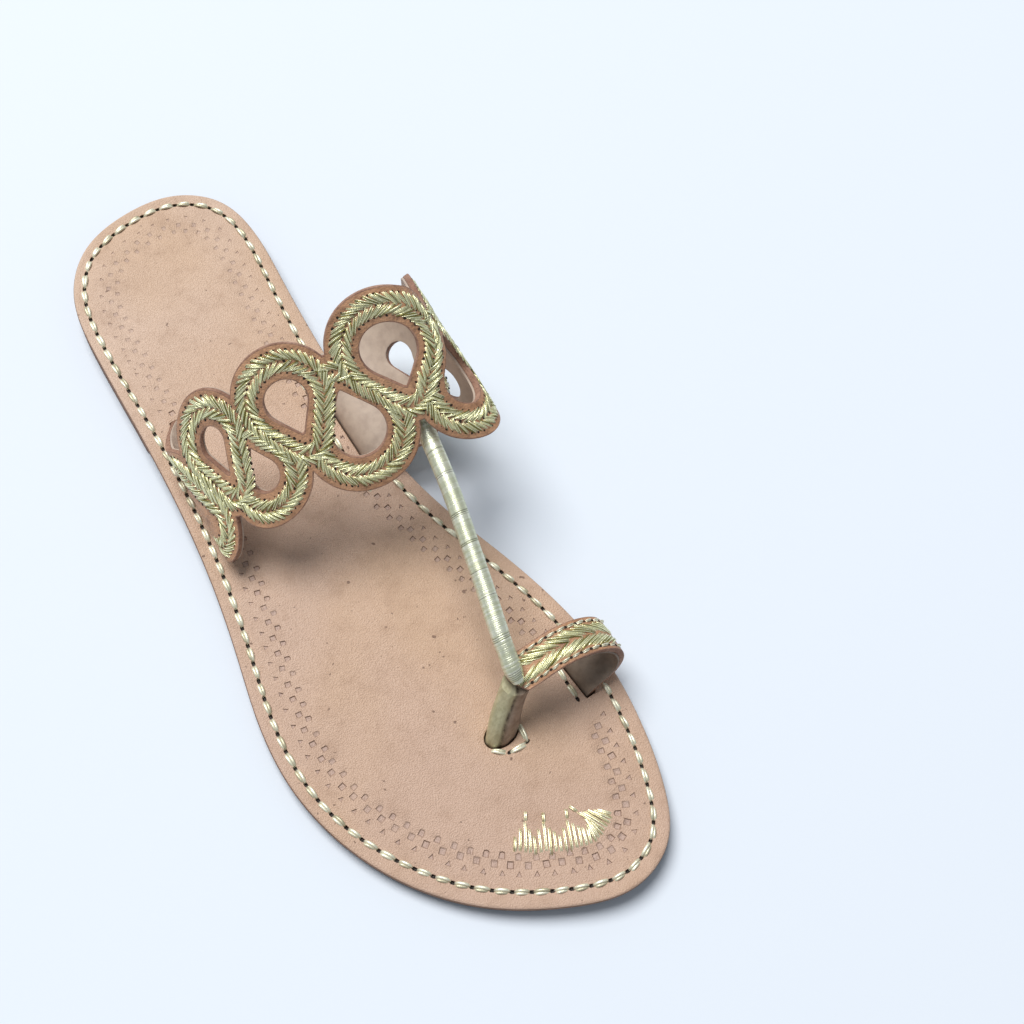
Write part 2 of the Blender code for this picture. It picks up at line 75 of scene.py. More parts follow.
# a strap's middle line: across, along, height, tilt, lean. Tilt lifts its heel side.
bandRows = (
    (-30.3, 37.5, 5.9, 2.5, 0.17),
    (-30.3, 37.5, 7.9, 2.5, 0.17),
    (-36.2, 29.5, 14.0, 9.0, 0.10),
    (-29.5, 26.6, 28.5, 25.0, 0.05),
    (-12.2, 22.0, 43.4, 36.5, 0.0),
    (13.0, 16.8, 51.2, 40.0, 0.0),
    (31.6, 13.4, 54.6, 34.0, 0.0),
    (36.6, 16.8, 49.8, 21.5, 0.0),
    (40.0, 18.9, 41.7, 13.0, 0.02),
    (39.8, 22.8, 26.2, 9.0, 0.03),
    (26.5, 27.0, 14.4, 4.0, 0.05),
    (13.6, 31.0, 8.6, 2.5, 0.07),
    (13.4, 31.0, 5.6, 2.5, 0.07),
)
band = {
    "wall": 2.4,
    "holeMargin": 1.8,    # bare leather between the thread and the hole
    "strip": 6.4,         # width of the embroidered strip round a teardrop
    "outerMargin": 1.6,   # bare leather outside it
    "tipRadius": 1.3,
    "leastRadius": 0.4,
    "crown": 0.12,
    "patternCentre": 89.0,
    "heelHalf": 20.0,
    "toeHalf": 17.5,
    "tongue": 9.0,
    "threadStart": 3.2,
    "slotPlay": 0.5,
    "lining": 0.65,       # thickness of the lining under the leather
    "liningInset": 0.15,
}
strapHalf = band["wall"] / 2
slotHalf = strapHalf + band["slotPlay"]

# teardrops from the middle one outwards: offset, side of the lobe, lobe radius, lobe reach, tip reach
teardropRows = (
    (0.0, 1, 9.3, 8.1, 4.2),
    (16.5, -1, 9.3, 8.7, 4.4),
    (30.1, 1, 7.6, 7.6, 3.6),
    (45.2, -1, 6.5, 6.8, 2.5),
    (54.8, 1, 6.0, 8.8, 2.7),
)
# bare panel at each end of the band: from the end, across, radius
panelRows = ((9.2, 10.5, 1.5), (14.0, 9.0, 1.5), (18.0, -6.0, 3.8), (9.0, -8.0, 1.8))

loopRows = (
    (-1.6, -62.0, 22.2, 9.0, 0.12),
    (5.3, -63.2, 23.0, 9.0, 0.12),
    (12.0, -63.7, 24.7, 8.0, 0.10),
    (19.1, -64.6, 25.2, 7.0, 0.08),
    (26.0, -66.2, 23.0, 5.0, 0.06),
    (30.7, -68.2, 18.3, 3.0, 0.04),
    (31.2, -69.8, 13.4, 1.0, 0.02),
    (28.2, -70.6, 9.4, 0.0, 0.0),
    (23.4, -70.8, 8.0, 0.0, 0.0),
    (21.2, -70.8, 5.4, 0.0, 0.0),
    (21.2, -70.8, 3.2, 0.0, 0.0),
)
loop = {"width": 10.6, "tip": 2.2, "tipStart": 1.5, "taper": 5.4, "corner": 1.0, "threads": (5.9, 37.0)}

# toe post: across, along, height, half width, half depth, rise
postRows = (
    (-6.1, -70.6, 3.2, 4.9, 3.2, 0.0),
    (-6.1, -70.6, 5.1, 4.9, 3.2, 0.0),
    (-5.0, -69.6, 8.0, 5.0, 3.4, 0.03),
    (-3.2, -67.8, 12.0, 4.8, 3.5, 0.07),
    (-0.4, -65.7, 16.5, 4.5, 3.5, 0.11),
    (2.0, -64.3, 21.2, 4.5, 3.8, 0.14),
)
# cord: across, along, height, half width, half height, after its flat tab under the band
cordRows = (
    (20.8, 4.4, 39.0, 2.6, 2.6),
    (18.6, -4.0, 37.5, 2.6, 2.6),
    (15.5, -15.6, 36.1, 2.6, 2.6),
    (11.5, -28.9, 33.6, 2.6, 2.6),
    (7.3, -42.5, 31.0, 2.6, 2.6),
    (3.6, -54.0, 28.8, 2.6, 2.6),
    (1.9, -61.2, 26.2, 2.6, 2.6),
    (1.4, -63.9, 25.0, 2.4, 2.3),
    (1.4, -65.2, 24.1, 1.6, 1.5),
)
# the cord's flat tab under the band: across the band, half width, half height
tabRows = ((-4.9, 2.2, 0.4), (-7.2, 3.4, 0.9), (-10.7, 3.1, 2.0))
cordPlace = 89.5


# curves and outlines

def norms(vectors):
    return np.linalg.norm(vectors, axis=1)


def runOf(points):
    return np.concatenate([[0.0], np.cumsum(norms(np.diff(points[:, :3], axis=0)))])


def readTable(places, run, table):
    return np.stack([np.interp(places, run, column) for column in table.T], axis=1)


def closeRing(ring):
    return np.vstack([ring, ring[:1]])


def splineValues(rows, places):
    # a natural cubic spline through the rows, read at shares of its length
    rows = np.asarray(rows, float)
    spans = norms(np.diff(rows[:, :3], axis=0))
    knots = runOf(rows)
    size = len(rows)
    system = np.eye(size)
    bend = np.zeros_like(rows)
    for i in range(1, size - 1):
        system[i, i - 1 : i + 2] = spans[i - 1], 2 * (spans[i - 1] + spans[i]), spans[i]
        bend[i] = 6 * ((rows[i + 1] - rows[i]) / spans[i] - (rows[i] - rows[i - 1]) / spans[i - 1])
    second = np.linalg.solve(system, bend)
    places = np.asarray(places, float) * knots[-1]
    cell = np.clip(np.searchsorted(knots, places) - 1, 0, size - 2)
    width = spans[cell][:, None]
    before = (knots[cell + 1] - places)[:, None] / width
    after = 1 - before
    cubic = (before**3 - before) * second[cell] + (after**3 - after) * second[cell + 1]
    return before * rows[cell] + after * rows[cell + 1] + cubic * width**2 / 6


def splineLine(rows, count):
    return splineValues(rows, np.linspace(0.0, 1.0, count))


def evenPoints(points, step):
    points = np.asarray(points, float)
    run = runOf(points)
    places = np.linspace(0.0, run[-1], max(2, round(run[-1] / step) + 1))
    return readTable(places, run, points)


def evenRing(ring, step):
    return evenPoints(closeRing(ring), step)[:-1]


def inwardOf(ring):
    along = np.roll(ring, -1, axis=0) - np.roll(ring, 1, axis=0)
    along /= norms(along)[:, None] + 1e-9
    return np.stack([-along[:, 1], along[:, 0]], axis=1)


def box(low, high):
    return np.array([low, (high[0], low[1]), high, (low[0], high[1])])


def soleOutline(inset=0.0, step=sole["ringStep"]):
    wrap, half = 4, 750
    rows = np.array(soleRows[-wrap:] + soleRows + soleRows[: wrap + 1], float)
    fine = splineLine(rows, 2 * half)
    gap = norms(fine - rows[wrap])
    first, last = np.argmin(gap[:half]), half + np.argmin(gap[half:])
    ring = evenPoints(fine[first : last + 1], step)[:-1]
    return ring + inwardOf(ring) * inset


def rampOf(values, start, stop):
    # how far each value has come from start to stop
    return np.clip((values - start) / (stop - start), 0.0, 1.0)


def soleRise(along):
    ramp = rampOf(along, sole["rampStart"], sole["rampEnd"])
    heel = (sole["liftThick"] + sole["gap"]) * ramp**2 * (3 - 2 * ramp)
    toe = rampOf(along, sole["springStart"], sole["toeTip"])
    return heel + sole["toeSpring"] * toe**2


footbedTop = sole["outsoleThick"] + sole["gap"] + sole["footbedThick"]


def arc(centre, radius, step):
    turn = np.arange(0.0, 2 * math.pi, step / radius)
    return centre + radius * np.stack([np.cos(turn), np.sin(turn)], axis=1)


def tightOutline(circles, grow=0.0, step=0.8):
    # the band round a set of circles: across, along and radius of each
    sized = [((x, y), radius + grow) for x, y, radius in circles]
    points = np.vstack([arc(centre, max(size, 0.05), min(step, 0.6 * size)) for centre, size in sized])
    points = sorted(set(map(tuple, np.round(points, 4))))

    def chain(ordered):
        kept = []
        for point in ordered:
            while len(kept) > 1:
                (ax, ay), (bx, by) = kept[-2], kept[-1]
                if (bx - ax) * (point[1] - ay) - (by - ay) * (point[0] - ax) > 1e-6:
                    break
                kept.pop()
            kept.append(point)
        return kept[:-1]

    return evenRing(np.array(chain(points) + chain(points[::-1])), step)


def grown(circles, grow):
    # a teardrop's two circles, wider or narrower by the same margin all round
    (along, lobe, large), (_, tip, small) = circles
    if grow > 0:
        crown = band["crown"] * grow
        lobe += math.copysign(crown, lobe)
        return [(along, lobe, large + grow - crown), (along, tip, small + grow)]
    least = band["leastRadius"]
    share = (large + grow - least) / (large - small)
    return [(along, lobe, large + grow), (along, lobe + share * (tip - lobe), least)]


class Strap:
    # takes flat points (along, across, out) to their place on a curved strap
    def __init__(self, rows):
        fine = splineLine(rows, 600)
        self.line = fine[:, :3]
        self.run = runOf(self.line)
        self.length = self.run[-1]
        tilt, lean = np.radians(fine[:, 3]), fine[:, 4]
        side = np.stack([lean, np.cos(tilt), np.sin(tilt)], axis=1)
        self.side = side / norms(side)[:, None]
        out = np.cross(np.gradient(self.line, self.run, axis=0), self.side)
        self.out = out / norms(out)[:, None]

    def place(self, points):
        along, across, out = np.asarray(points, float).T
        tables = (self.line, self.side, self.out)
        line, side, away = (readTable(along, self.run, table) for table in tables)
        return line + side * across[:, None] + away * out[:, None]

    def dress(self, made):
        movePoints(made, lambda flat: toWorld(self.place(flat)))
        return made


bandStrap = Strap(bandRows)
loopStrap = Strap(loopRows)


# meshes

def toWorld(points):
    return (np.asarray(points, float) + (centreShift, 0.0, 0.0)) * mm


def newObject(name, mesh):
    made = bpy.data.objects.new(name, mesh)
    bpy.context.scene.collection.objects.link(made)
    return made


def meshObject(name, points, faces, materials=(), smooth=40.0, kinds=None):
    mesh = bpy.data.meshes.new(name)
    mesh.from_pydata([tuple(p) for p in points], [], [tuple(int(i) for i in f) for f in faces])
    for material in materials:
        mesh.materials.append(material)
    if kinds is not None:
        mesh.polygons.foreach_set("material_index", kinds)
    mesh.validate()
    mesh.shade_smooth()
    if smooth < 180:
        mesh.set_sharp_from_angle(angle=math.radians(smooth))
    return newObject(name, mesh)


def pointArray(made):
    flat = np.empty(len(made.data.vertices) * 3)
    made.data.vertices.foreach_get("co", flat)
    return flat.reshape(-1, 3)


def movePoints(made, rule):
    made.data.vertices.foreach_set("co", np.ascontiguousarray(rule(pointArray(made))).ravel())
    made.data.update()


def setAttribute(made, name, values):
    layer = made.data.attributes.new(name, "FLOAT", "POINT")
    layer.data.foreach_set("value", np.ascontiguousarray(values, np.float32))


def inside(points, ring):
    points, ring = np.asarray(points, float), np.asarray(ring, float)
    found = np.zeros(len(points), bool)
    near = (points >= ring.min(axis=0)).all(axis=1) & (points <= ring.max(axis=0)).all(axis=1)
    x, y = points[near].T
    odd = np.zeros(len(x), bool)
    for (ax, ay), (bx, by) in zip(ring, np.roll(ring, -1, axis=0)):
        if ay == by:
            continue
        crosses = ((ay > y) != (by > y)) & (x < (bx - ax) * (y - ay) / (by - ay) + ax)
        odd ^= crosses
    found[near] = odd
    return found


def triangulate(rings, loosePoints, keep):
    # constrained triangles over closed rings and loose points; keep() picks triangles by their middle
    points, edges = [], []
    for ring in rings:
        first = len(points)
        points += [Vector((x, y)) for x, y in ring]
        edges += [(first + i, first + (i + 1) % len(ring)) for i in range(len(ring))]
    points += [Vector((x, y)) for x, y in loosePoints]
    found = delaunay_2d_cdt(points, edges, [], 0, 1e-5, True)
    places = np.array([tuple(p) for p in found[0]])
    faces = np.array([f for f in found[2] if len(f) == 3])
    faces = faces[keep(places[faces].mean(axis=1))]
    indexOf = {}
    for new, olds in enumerate(found[3]):
        for old in olds:
            indexOf[old] = new
    return places, faces, indexOf


def gridPoints(ring, stepX, stepY, keepAway=0.9):
    low, high = ring.min(axis=0), ring.max(axis=0)
    xs = np.arange(low[0], high[0], stepX)
    ys = np.arange(low[1], high[1], stepY)
    grid = np.array([(x + (stepX / 2 if j % 2 else 0.0), y) for j, y in enumerate(ys) for x in xs])
    grid = grid[inside(grid, ring)]
    return grid[nearest(grid, ring[::2]) > keepAway]


def nearest(points, ring):
    return np.min(np.linalg.norm(points[:, None] - np.asarray(ring)[None], axis=2), axis=1)


def atHeight(flat, height):
    return np.column_stack([flat, np.full(len(flat), height)])


def within(points, outers, holes):
    kept = np.zeros(len(points), bool)
    for ring in outers:
        kept |= inside(points, ring)
    for ring in holes:
        kept &= ~inside(points, ring)
    return kept


def buildPlate(name, edge, profile, fill, materials, slots=(), slotProfile=(), marks=(), relief=None,
               lips=0):
    # profile: (inset, height) from the top face's rim down to the bottom face's rim.
    # The first so many bands below a rim, lips, keep the top's material.
    (topInset, topHeight), (bottomInset, bottomHeight) = profile[0], profile[-1]
    topRim, bottomRim = edge + inwardOf(edge) * topInset, edge + inwardOf(edge) * bottomInset
    slotTops = [slot - inwardOf(slot) * slotProfile[0][0] for slot in slots]
    markRings = [ring for mark in marks for ring in mark["rings"]]
    top, topFaces, topIndex = triangulate(
        [topRim, *slotTops, *markRings], fill, lambda middles: within(middles, [topRim], slotTops))
    bottom, bottomFaces, bottomIndex = triangulate(
        [bottomRim, *slots], fill[::5], lambda middles: within(middles, [bottomRim], slots))
    depth, kinds = np.zeros(len(top)), {"mark": np.zeros(len(top)), "hole": np.zeros(len(top))}
    counter = len(topRim) + sum(len(ring) for ring in slotTops)
    for mark in marks:
        for ring, drop in zip(mark["rings"], mark["drops"]):
            for i in range(counter, counter + len(ring)):
                depth[topIndex[i]] = drop
                kinds[mark["kind"]][topIndex[i]] = float(drop > 0)
            counter += len(ring)
    heights = np.full(len(top), topHeight) if relief is None else relief(top)
    points = [np.column_stack([top, heights - depth]), atHeight(bottom, bottomHeight)]
    faces = [tuple(f) for f in topFaces] + [tuple(f[::-1] + len(top)) for f in bottomFaces]
    finish = [0] * len(faces)
    size = len(top) + len(bottom)
    first = 0
    for ring in [edge, *slots]:
        # the walls: from the top face's rim, through the rows between, to the bottom face's rim
        ids = range(first, first + len(ring))
        rows = [(-inset, height) for inset, height in slotProfile] if first else profile
        above, lowest = [topIndex[i] for i in ids], [bottomIndex[i] + len(top) for i in ids]
        for row, (inset, height) in enumerate(rows[1:]):
            if row == len(rows) - 2:
                below = lowest
            else:
                points.append(atHeight(ring + inwardOf(ring) * inset, height))
                below = list(range(size, size + len(ring)))
                size += len(ring)
            for i in range(len(ring)):
                j = (i + 1) % len(ring)
                face = (below[i], below[j], above[j], above[i])
                faces.append(face[::-1] if first else face)
                finish.append(0 if row < lips else 1)
            above = below
        first += len(ring)
    made = meshObject(name, np.vstack(points), faces, materials, 50.0, finish)
    for kind, values in kinds.items():
        setAttribute(made, kind, np.concatenate([values, np.zeros(size - len(top))]))
    return made


def buildSheet(name, outers, holes, length, low, high, lip, materials, stepX=1.6, stepY=4.0):
    # a flat cut-out between two levels and two ends, its rims rounded by lip
    def keep(middles):
        return within(middles, outers, holes) & (middles[:, 0] > 0.0) & (middles[:, 0] < length)

    beyond, half, clear = 70.0, 30.0, 0.6  # past any strap, the loose points' reach, their way from a rim
    ends = box((0.0, -beyond), (length, beyond))
    xs, ys = np.arange(0.8, length, stepX), np.arange(-half, half, stepY)
    fill = np.array([(x, y) for x in xs for y in ys])
    rims = np.vstack(outers + holes)
    far = np.array([np.min(np.abs(rims - point).max(axis=1)) > clear for point in fill])
    flat, faces, _ = triangulate([ends, *outers, *holes], fill[far], keep)
    used = np.unique(faces)
    renumber = np.full(len(flat), -1)
    renumber[used] = np.arange(len(used))
    flat, faces = flat[used], renumber[faces]
    count = len(flat)
    edges = dict.fromkeys(pair for a, b, c in faces for pair in ((a, b), (b, c), (c, a)))
    rim = [(a, b) for a, b in edges if (b, a) not in edges]
    solid = [tuple(f) for f in faces] + [tuple(f[::-1] + count) for f in faces]
    solid += [(a + count, b + count, b, a) for a, b in rim]
    cut = len(materials) - 1
    kinds = [0] * (2 * len(faces)) + [cut] * len(rim)
    points = np.vstack([atHeight(flat, high), atHeight(flat, low)])
    made = meshObject(name, points, solid, materials, 180, kinds)
    shape = bmesh.new()
    shape.from_mesh(made.data)
    pairs = {frozenset((a + level, b + level)) for a, b in rim for level in (0, count)}
    rimEdges = [edge for edge in shape.edges if frozenset(corner.index for corner in edge.verts) in pairs]
    bmesh.ops.bevel(shape, geom=rimEdges, offset=lip, offset_type="OFFSET", segments=2, profile=0.6,
                    affect="EDGES", material=cut)
    shape.to_mesh(made.data)
    shape.free()
    made.data.shade_smooth()
    made.data.set_sharp_from_angle(angle=math.radians(50))
    return made


def loft(name, centres, sides, ups, corners, materials, radius):
    # a closed tube through ovals; radius(i, turn) swells or pinches it
    turns = 2 * math.pi * np.arange(corners) / corners
    points, faces = [], []
    for i, (centre, side, up) in enumerate(zip(centres, sides, ups)):
        swell = radius(i, turns)
        x, y = (np.cos(turns) * swell)[:, None], (np.sin(turns) * swell)[:, None]
        points.append(centre + x * side + y * up)
    end = (len(points) - 1) * corners
    for a in range(0, end, corners):
        for j in range(corners):
            k = (j + 1) % corners
            faces.append((a + j, a + k, a + corners + k, a + corners + j))
    first, last = end + corners, end + corners + 1
    for j in range(corners):
        k = (j + 1) % corners
        faces += [(first, k, j), (last, end + j, end + k)]
    points += [[centres[0]], [centres[-1]]]
    return meshObject(name, np.vstack(points), faces, materials, 60.0)


def setInputs(tree, node, inputs):
    # an input is a number, a colour, a name or another node's output
    for place, value in inputs.items():
        if isinstance(value, bpy.types.NodeSocket):
            tree.links.new(value, node.inputs[place])
        else:
            node.inputs[place].default_value = value


def addNode(tree, kind, result, inputs, **settings):
    made = tree.nodes.new(kind)
    for name, value in settings.items():
        setattr(made, name, value)
    setInputs(tree, made, inputs)
    return made.outputs[result]


# one stitch or thread bundle on every point of a row, by Geometry Nodes

def stitchTree():
    tree = bpy.data.node_groups.new("stitchRow", "GeometryNodeTree")
    addSocket = tree.interface.new_socket
    addSocket("Geometry", in_out="INPUT", socket_type="NodeSocketGeometry")
    addSocket("Geometry", in_out="OUTPUT", socket_type="NodeSocketGeometry")
    for label, kind in (
        ("stitch", "Object"), ("size", "Vector"), ("turn", "Float"), ("turnPlay", "Float"),
        ("sizePlay", "Float"), ("rollPlay", "Float"), ("seed", "Int"), ("finish", "Material"),
    ):
        addSocket(label, in_out="INPUT", socket_type="NodeSocket" + kind)
    given = tree.nodes.new("NodeGroupInput").outputs

    def node(kind, result, inputs, **settings):
        return addNode(tree, kind, result, inputs, **settings)

    def attribute(label):
        return node("GeometryNodeInputNamedAttribute", "Attribute", {"Name": label}, data_type="FLOAT")

    def maths(operation, a, b):
        return node("ShaderNodeMath", 0, {0: a, 1: b}, operation=operation)

    def randomly(low, high, offset):
        seed = maths("ADD", given["seed"], offset)
        return node("FunctionNodeRandomValue", 1, {2: low, 3: high, "Seed": seed}, data_type="FLOAT")

    def play(size, offset):
        return maths("MULTIPLY", randomly(-1.0, 1.0, offset), size)

    turn = maths("ADD", maths("ADD", attribute("heading"), given["turn"]), play(given["turnPlay"], 1))
    pitch = play(maths("MULTIPLY", given["rollPlay"], 0.16), 5)
    angles = node("ShaderNodeCombineXYZ", 0, {"X": play(given["rollPlay"], 4), "Y": pitch, "Z": turn})
    wide = maths("ADD", 1.0, play(given["sizePlay"], 2))
    long = maths("MULTIPLY", wide, maths("ADD", 1.0, attribute("extra")))
    spread = node("ShaderNodeCombineXYZ", 0, {"X": long, "Y": wide, "Z": 1.0})
    scale = node("ShaderNodeVectorMath", 0, {0: given["size"], 1: spread}, operation="MULTIPLY")
    stitch = node("GeometryNodeObjectInfo", "Geometry", {"Object": given["stitch"]})
    made = given["Geometry"]
    for kind, inputs, settings in (
        ("InstanceOnPoints", {"Instance": stitch, "Rotation": angles, "Scale": scale}, {}),
        ("StoreNamedAttribute", {"Name": "shade", "Value": randomly(0.0, 1.0, 3)}, {"domain": "INSTANCE"}),
        ("RealizeInstances", {}, {}),
        ("SetMaterial", {"Material": given["finish"]}, {}),
    ):
        made = node("GeometryNode" + kind, 0, {0: made, **inputs}, **settings)
    tree.links.new(made, tree.nodes.new("NodeGroupOutput").inputs["Geometry"])
    return tree


stitchNodes = stitchTree()


def stitchRow(name, places, headings, extra=0.0, **inputs):
    # inputs: stitch, size, finish and seed, and turn, turnPlay, sizePlay, rollPlay unless zero
    mesh = bpy.data.meshes.new(name)
    mesh.from_pydata([tuple(p) if len(p) == 3 else (*p, 0.0) for p in places], [], [])
    made = newObject(name, mesh)
    setAttribute(made, "heading", headings)
    setAttribute(made, "extra", extra + np.zeros(len(places)))
    row = made.modifiers.new("row", "NODES")
    row.node_group = stitchNodes
    for socket in stitchNodes.interface.items_tree:
        if socket.name in inputs:
            row[socket.identifier] = inputs[socket.name]
    graph = bpy.context.evaluated_depsgraph_get()
    made.data = bpy.data.meshes.new_from_object(made.evaluated_get(graph))
    made.modifiers.clear()
    made.data.shade_smooth()
    return made


def headingsOf(line, closed):
    line = np.asarray(line, float)[:, :2]
    if closed:
        ahead = np.roll(line, -1, axis=0) - np.roll(line, 1, axis=0)
    else:
        ahead = np.gradient(line, axis=0)
    return np.arctan2(ahead[:, 1], ahead[:, 0])


def strandTemplate(name, strands, sides, segments, radius, archHeight, dip, twist=0.0, blunt=0.62):
    # Unit-long strands along X, arched up in the middle, ends under the surface.
    # twist winds them round each other; the attribute "strand" tells them apart.
    points, faces = [], []
    for offset, start, stop in strands:
        base = len(points)
        for i in range(segments + 1):
            share = i / segments
            x = start + (stop - start) * share
            thick = radius * (blunt + (1.0 - blunt) * math.sin(math.pi * share))
            y, z = offset * math.cos(twist * share), offset * math.sin(twist * share)
            pull = 0.86 + 0.14 * math.sin(math.pi * share) if twist else 1.0
            z = z * pull + archHeight * (1 - (2 * share - 1) ** 2) - dip * abs(2 * share - 1) ** 4
            for j in range(sides):
                turn = 2 * math.pi * j / sides
                points.append((x, y * pull + thick * math.cos(turn), z + thick * math.sin(turn)))
        for i in range(segments):
            for j in range(sides):
                k = (j + 1) % sides
                a, b = base + i * sides, base + (i + 1) * sides
                faces.append((a + k, a + j, b + j, b + k))
        faces.append(tuple(base + j for j in range(sides)))
        faces.append(tuple(base + segments * sides + j for j in reversed(range(sides))))
    made = meshObject(name, points, faces, smooth=180)
    setAttribute(made, "strand", np.repeat(np.arange(len(strands)), (segments + 1) * sides))
    return made


def dotTemplate(name, corners=7):
    ring = [(math.cos(turn), math.sin(turn), 0.0) for turn in 2 * math.pi * np.arange(corners) / corners]
    sides = [(i, (i + 1) % corners, corners) for i in range(corners)]
    return meshObject(name, [*ring, (0.0, 0.0, 0.12)], sides)


# finishes

def solid(tone):
    return (*tone, 1.0) if isinstance(tone, tuple) else tone


class Paint:
    # a procedural material: coats laid over a first colour, bumps over each other, then the surface
    def __init__(self, name, colour):
        self.material = bpy.data.materials.new(name)
        self.material.use_nodes = True
        self.tree = self.material.node_tree
        self.space = self.node("TexCoord", "Object", {})
        self.tone = colour
        self.normal = None

    def node(self, kind, result, inputs, **settings):
        return addNode(self.tree, "ShaderNode" + kind, result, inputs, **settings)

    def noise(self, scale, detail=4.0, rough=0.55, stretch=None):
        space = self.space
        if stretch:
            space = self.node("Mapping", 0, {"Vector": space, "Scale": stretch})
        inputs = {"Vector": space, "Scale": scale, "Detail": detail, "Roughness": rough}
        return self.node("TexNoise", "Fac", inputs)

    def cells(self, scale):
        return self.node("TexVoronoi", "Distance", {"Vector": self.space, "Scale": scale}, feature="F1")

    def attribute(self, name):
        return self.node("Attribute", "Fac", {}, attribute_name=name)

    def ramp(self, value, low, high, least=0.0, most=1.0):
        inputs = {"Value": value, "From Min": low, "From Max": high, "To Min": least, "To Max": most}
        return self.node("MapRange", "Result", inputs, interpolation_type="SMOOTHSTEP")

    def maths(self, operation, a, b=0.0):
        return self.node("Math", 0, {0: a, 1: b}, operation=operation)

    def mix(self, share, a, b):
        return self.node("Mix", 2, {0: share, 6: solid(a), 7: solid(b)}, data_type="RGBA")

    def lay(self, share, colour):
        self.tone = self.mix(share, self.tone, colour)

    def coat(self, value, low, high, most, colour):
        self.lay(self.ramp(value, low, high, 0.0, most), colour)

    def bump(self, height, strength, distance):
        inputs = {"Height": height, "Strength": strength, "Distance": distance}
        if self.normal:
            inputs["Normal"] = self.normal
        self.normal = self.node("Bump", "Normal", inputs)

    def done(self, roughness, metal=0.0, shine=0.5):
        inputs = {"Base Color": solid(self.tone), "Roughness": roughness, "Metallic": metal}
        inputs["Specular IOR Level"] = shine
        if self.normal:
            inputs["Normal"] = self.normal
        setInputs(self.tree, self.tree.nodes["Principled BSDF"], inputs)
        return self.material


leather = {
    "toe": (0.59, 0.407, 0.31), "heel": (0.67, 0.49, 0.378), "patch": (0.52, 0.345, 0.235),
    "amber": (0.65, 0.44, 0.285), "mottle": (0.36, 0.22, 0.145), "speck": (0.12, 0.06, 0.04),
    # stampWallShade: painted shade on the stamps' pressed walls
    "pore": (0.80, 0.68, 0.58), "stamp": (0.46, 0.34, 0.305), "stampWallShade": (0.20, 0.12, 0.08),
    # hole: painted shade inside the needle holes
    "hole": (0.02, 0.012, 0.008),
    "grain": 2500.0,      # pebbles per metre
    "pores": 4800.0,
}


def footbedLeather():
    paint = Paint("footbed leather", leather["toe"])
    along = paint.node("SeparateXYZ", "Y", {0: paint.space})
    patches = paint.noise(24.0, 5.0, 0.6)
    mottle = paint.noise(150.0, 6.0, 0.68)
    pores = paint.noise(leather["pores"], 2.0, 0.5)
    pebbles = paint.cells(leather["grain"])
    streaks = paint.noise(420.0, 3.0, 0.6, (1.0, 0.10, 1.0))
    paint.coat(along, -0.06, 0.10, 1.0, leather["heel"])
    paint.coat(patches, 0.35, 0.7, 0.5, leather["patch"])
    paint.coat(paint.noise(13.0, 3.0, 0.5), 0.42, 0.68, 0.5, leather["amber"])
    paint.coat(mottle, 0.45, 0.8, 0.45, leather["mottle"])
    paint.coat(streaks, 0.6, 0.85, 0.3, leather["mottle"])
    paint.coat(pebbles, 0.35, 0.75, 0.22, leather["mottle"])
    paint.coat(pores, 0.55, 0.75, 0.22, leather["pore"])
    paint.coat(paint.noise(520.0, 2.0, 0.4), 0.73, 0.77, 0.7, leather["speck"])
    mark = paint.attribute("mark")
    plain = paint.maths("MULTIPLY", mark, paint.ramp(along, 0.055, 0.070, 1.0, 0.75))
    paint.lay(paint.maths("MULTIPLY", plain, paint.ramp(mottle, 0.2, 0.6, 0.15, 0.6)), leather["stamp"])
    # painted shade: every stamp's pressed wall is darkened all round
    wall = paint.maths("MULTIPLY", plain, paint.maths("SUBTRACT", 1.0, mark))
    paint.lay(paint.maths("MULTIPLY", wall, 3.0), leather["stampWallShade"])
    # painted shade: the needle holes' pits are painted near black
    paint.coat(paint.attribute("hole"), 0.1, 0.6, 1.0, leather["hole"])
    paint.bump(pebbles, 0.60, 0.0003)
    paint.bump(pores, 0.50, 0.0002)
    paint.bump(patches, 0.30, 0.002)
    return paint.done(paint.ramp(mottle, 0.3, 0.8, 0.40, 0.58), 0.0, 0.45)


def edgeLeather(name, light, dark, layers=1600.0):
    # the cut edge of sole leather: fibres in thin level layers, burnished dark
    paint = Paint(name, dark)
    fibres = paint.noise(layers / 6, 5.0, 0.7, (1.0, 1.0, 6.0))
    paint.coat(fibres, 0.3, 0.75, 1.0, light)
    paint.coat(paint.noise(60.0, 4.0, 0.6), 0.4, 0.75, 0.4, dark)
    paint.bump(fibres, 0.35, 0.0003)
    return paint.done(0.62)


def strapLeather():
    paint = Paint("strap leather", (0.56, 0.31, 0.175))
    mottle = paint.noise(320.0, 6.0, 0.68)
    paint.coat(paint.noise(60.0, 4.0, 0.55), 0.35, 0.7, 1.0, (0.44, 0.23, 0.125))
    paint.coat(mottle, 0.42, 0.72, 0.7, (0.19, 0.09, 0.05))
    paint.bump(paint.cells(1700.0), 0.4, 0.0004)
    paint.bump(mottle, 0.3, 0.0005)
    return paint.done(0.5)


def cutLeather():
    paint = Paint("cut edge of the straps", (0.25, 0.125, 0.08))
    fibres = paint.noise(1100.0, 5.0, 0.7)
    paint.coat(paint.noise(120.0, 4.0, 0.6), 0.3, 0.7, 1.0, (0.42, 0.245, 0.17))
    paint.coat(fibres, 0.45, 0.75, 0.8, (0.09, 0.035, 0.02))
    paint.bump(fibres, 0.5, 0.0005)
    return paint.done(0.7)


def liningLeather(name, light, dark):
    paint = Paint(name, light)
    mottle = paint.noise(300.0, 5.0, 0.6)
    paint.coat(mottle, 0.35, 0.75, 1.0, dark)
    paint.bump(mottle, 0.2, 0.0004)
    return paint.done(0.6)


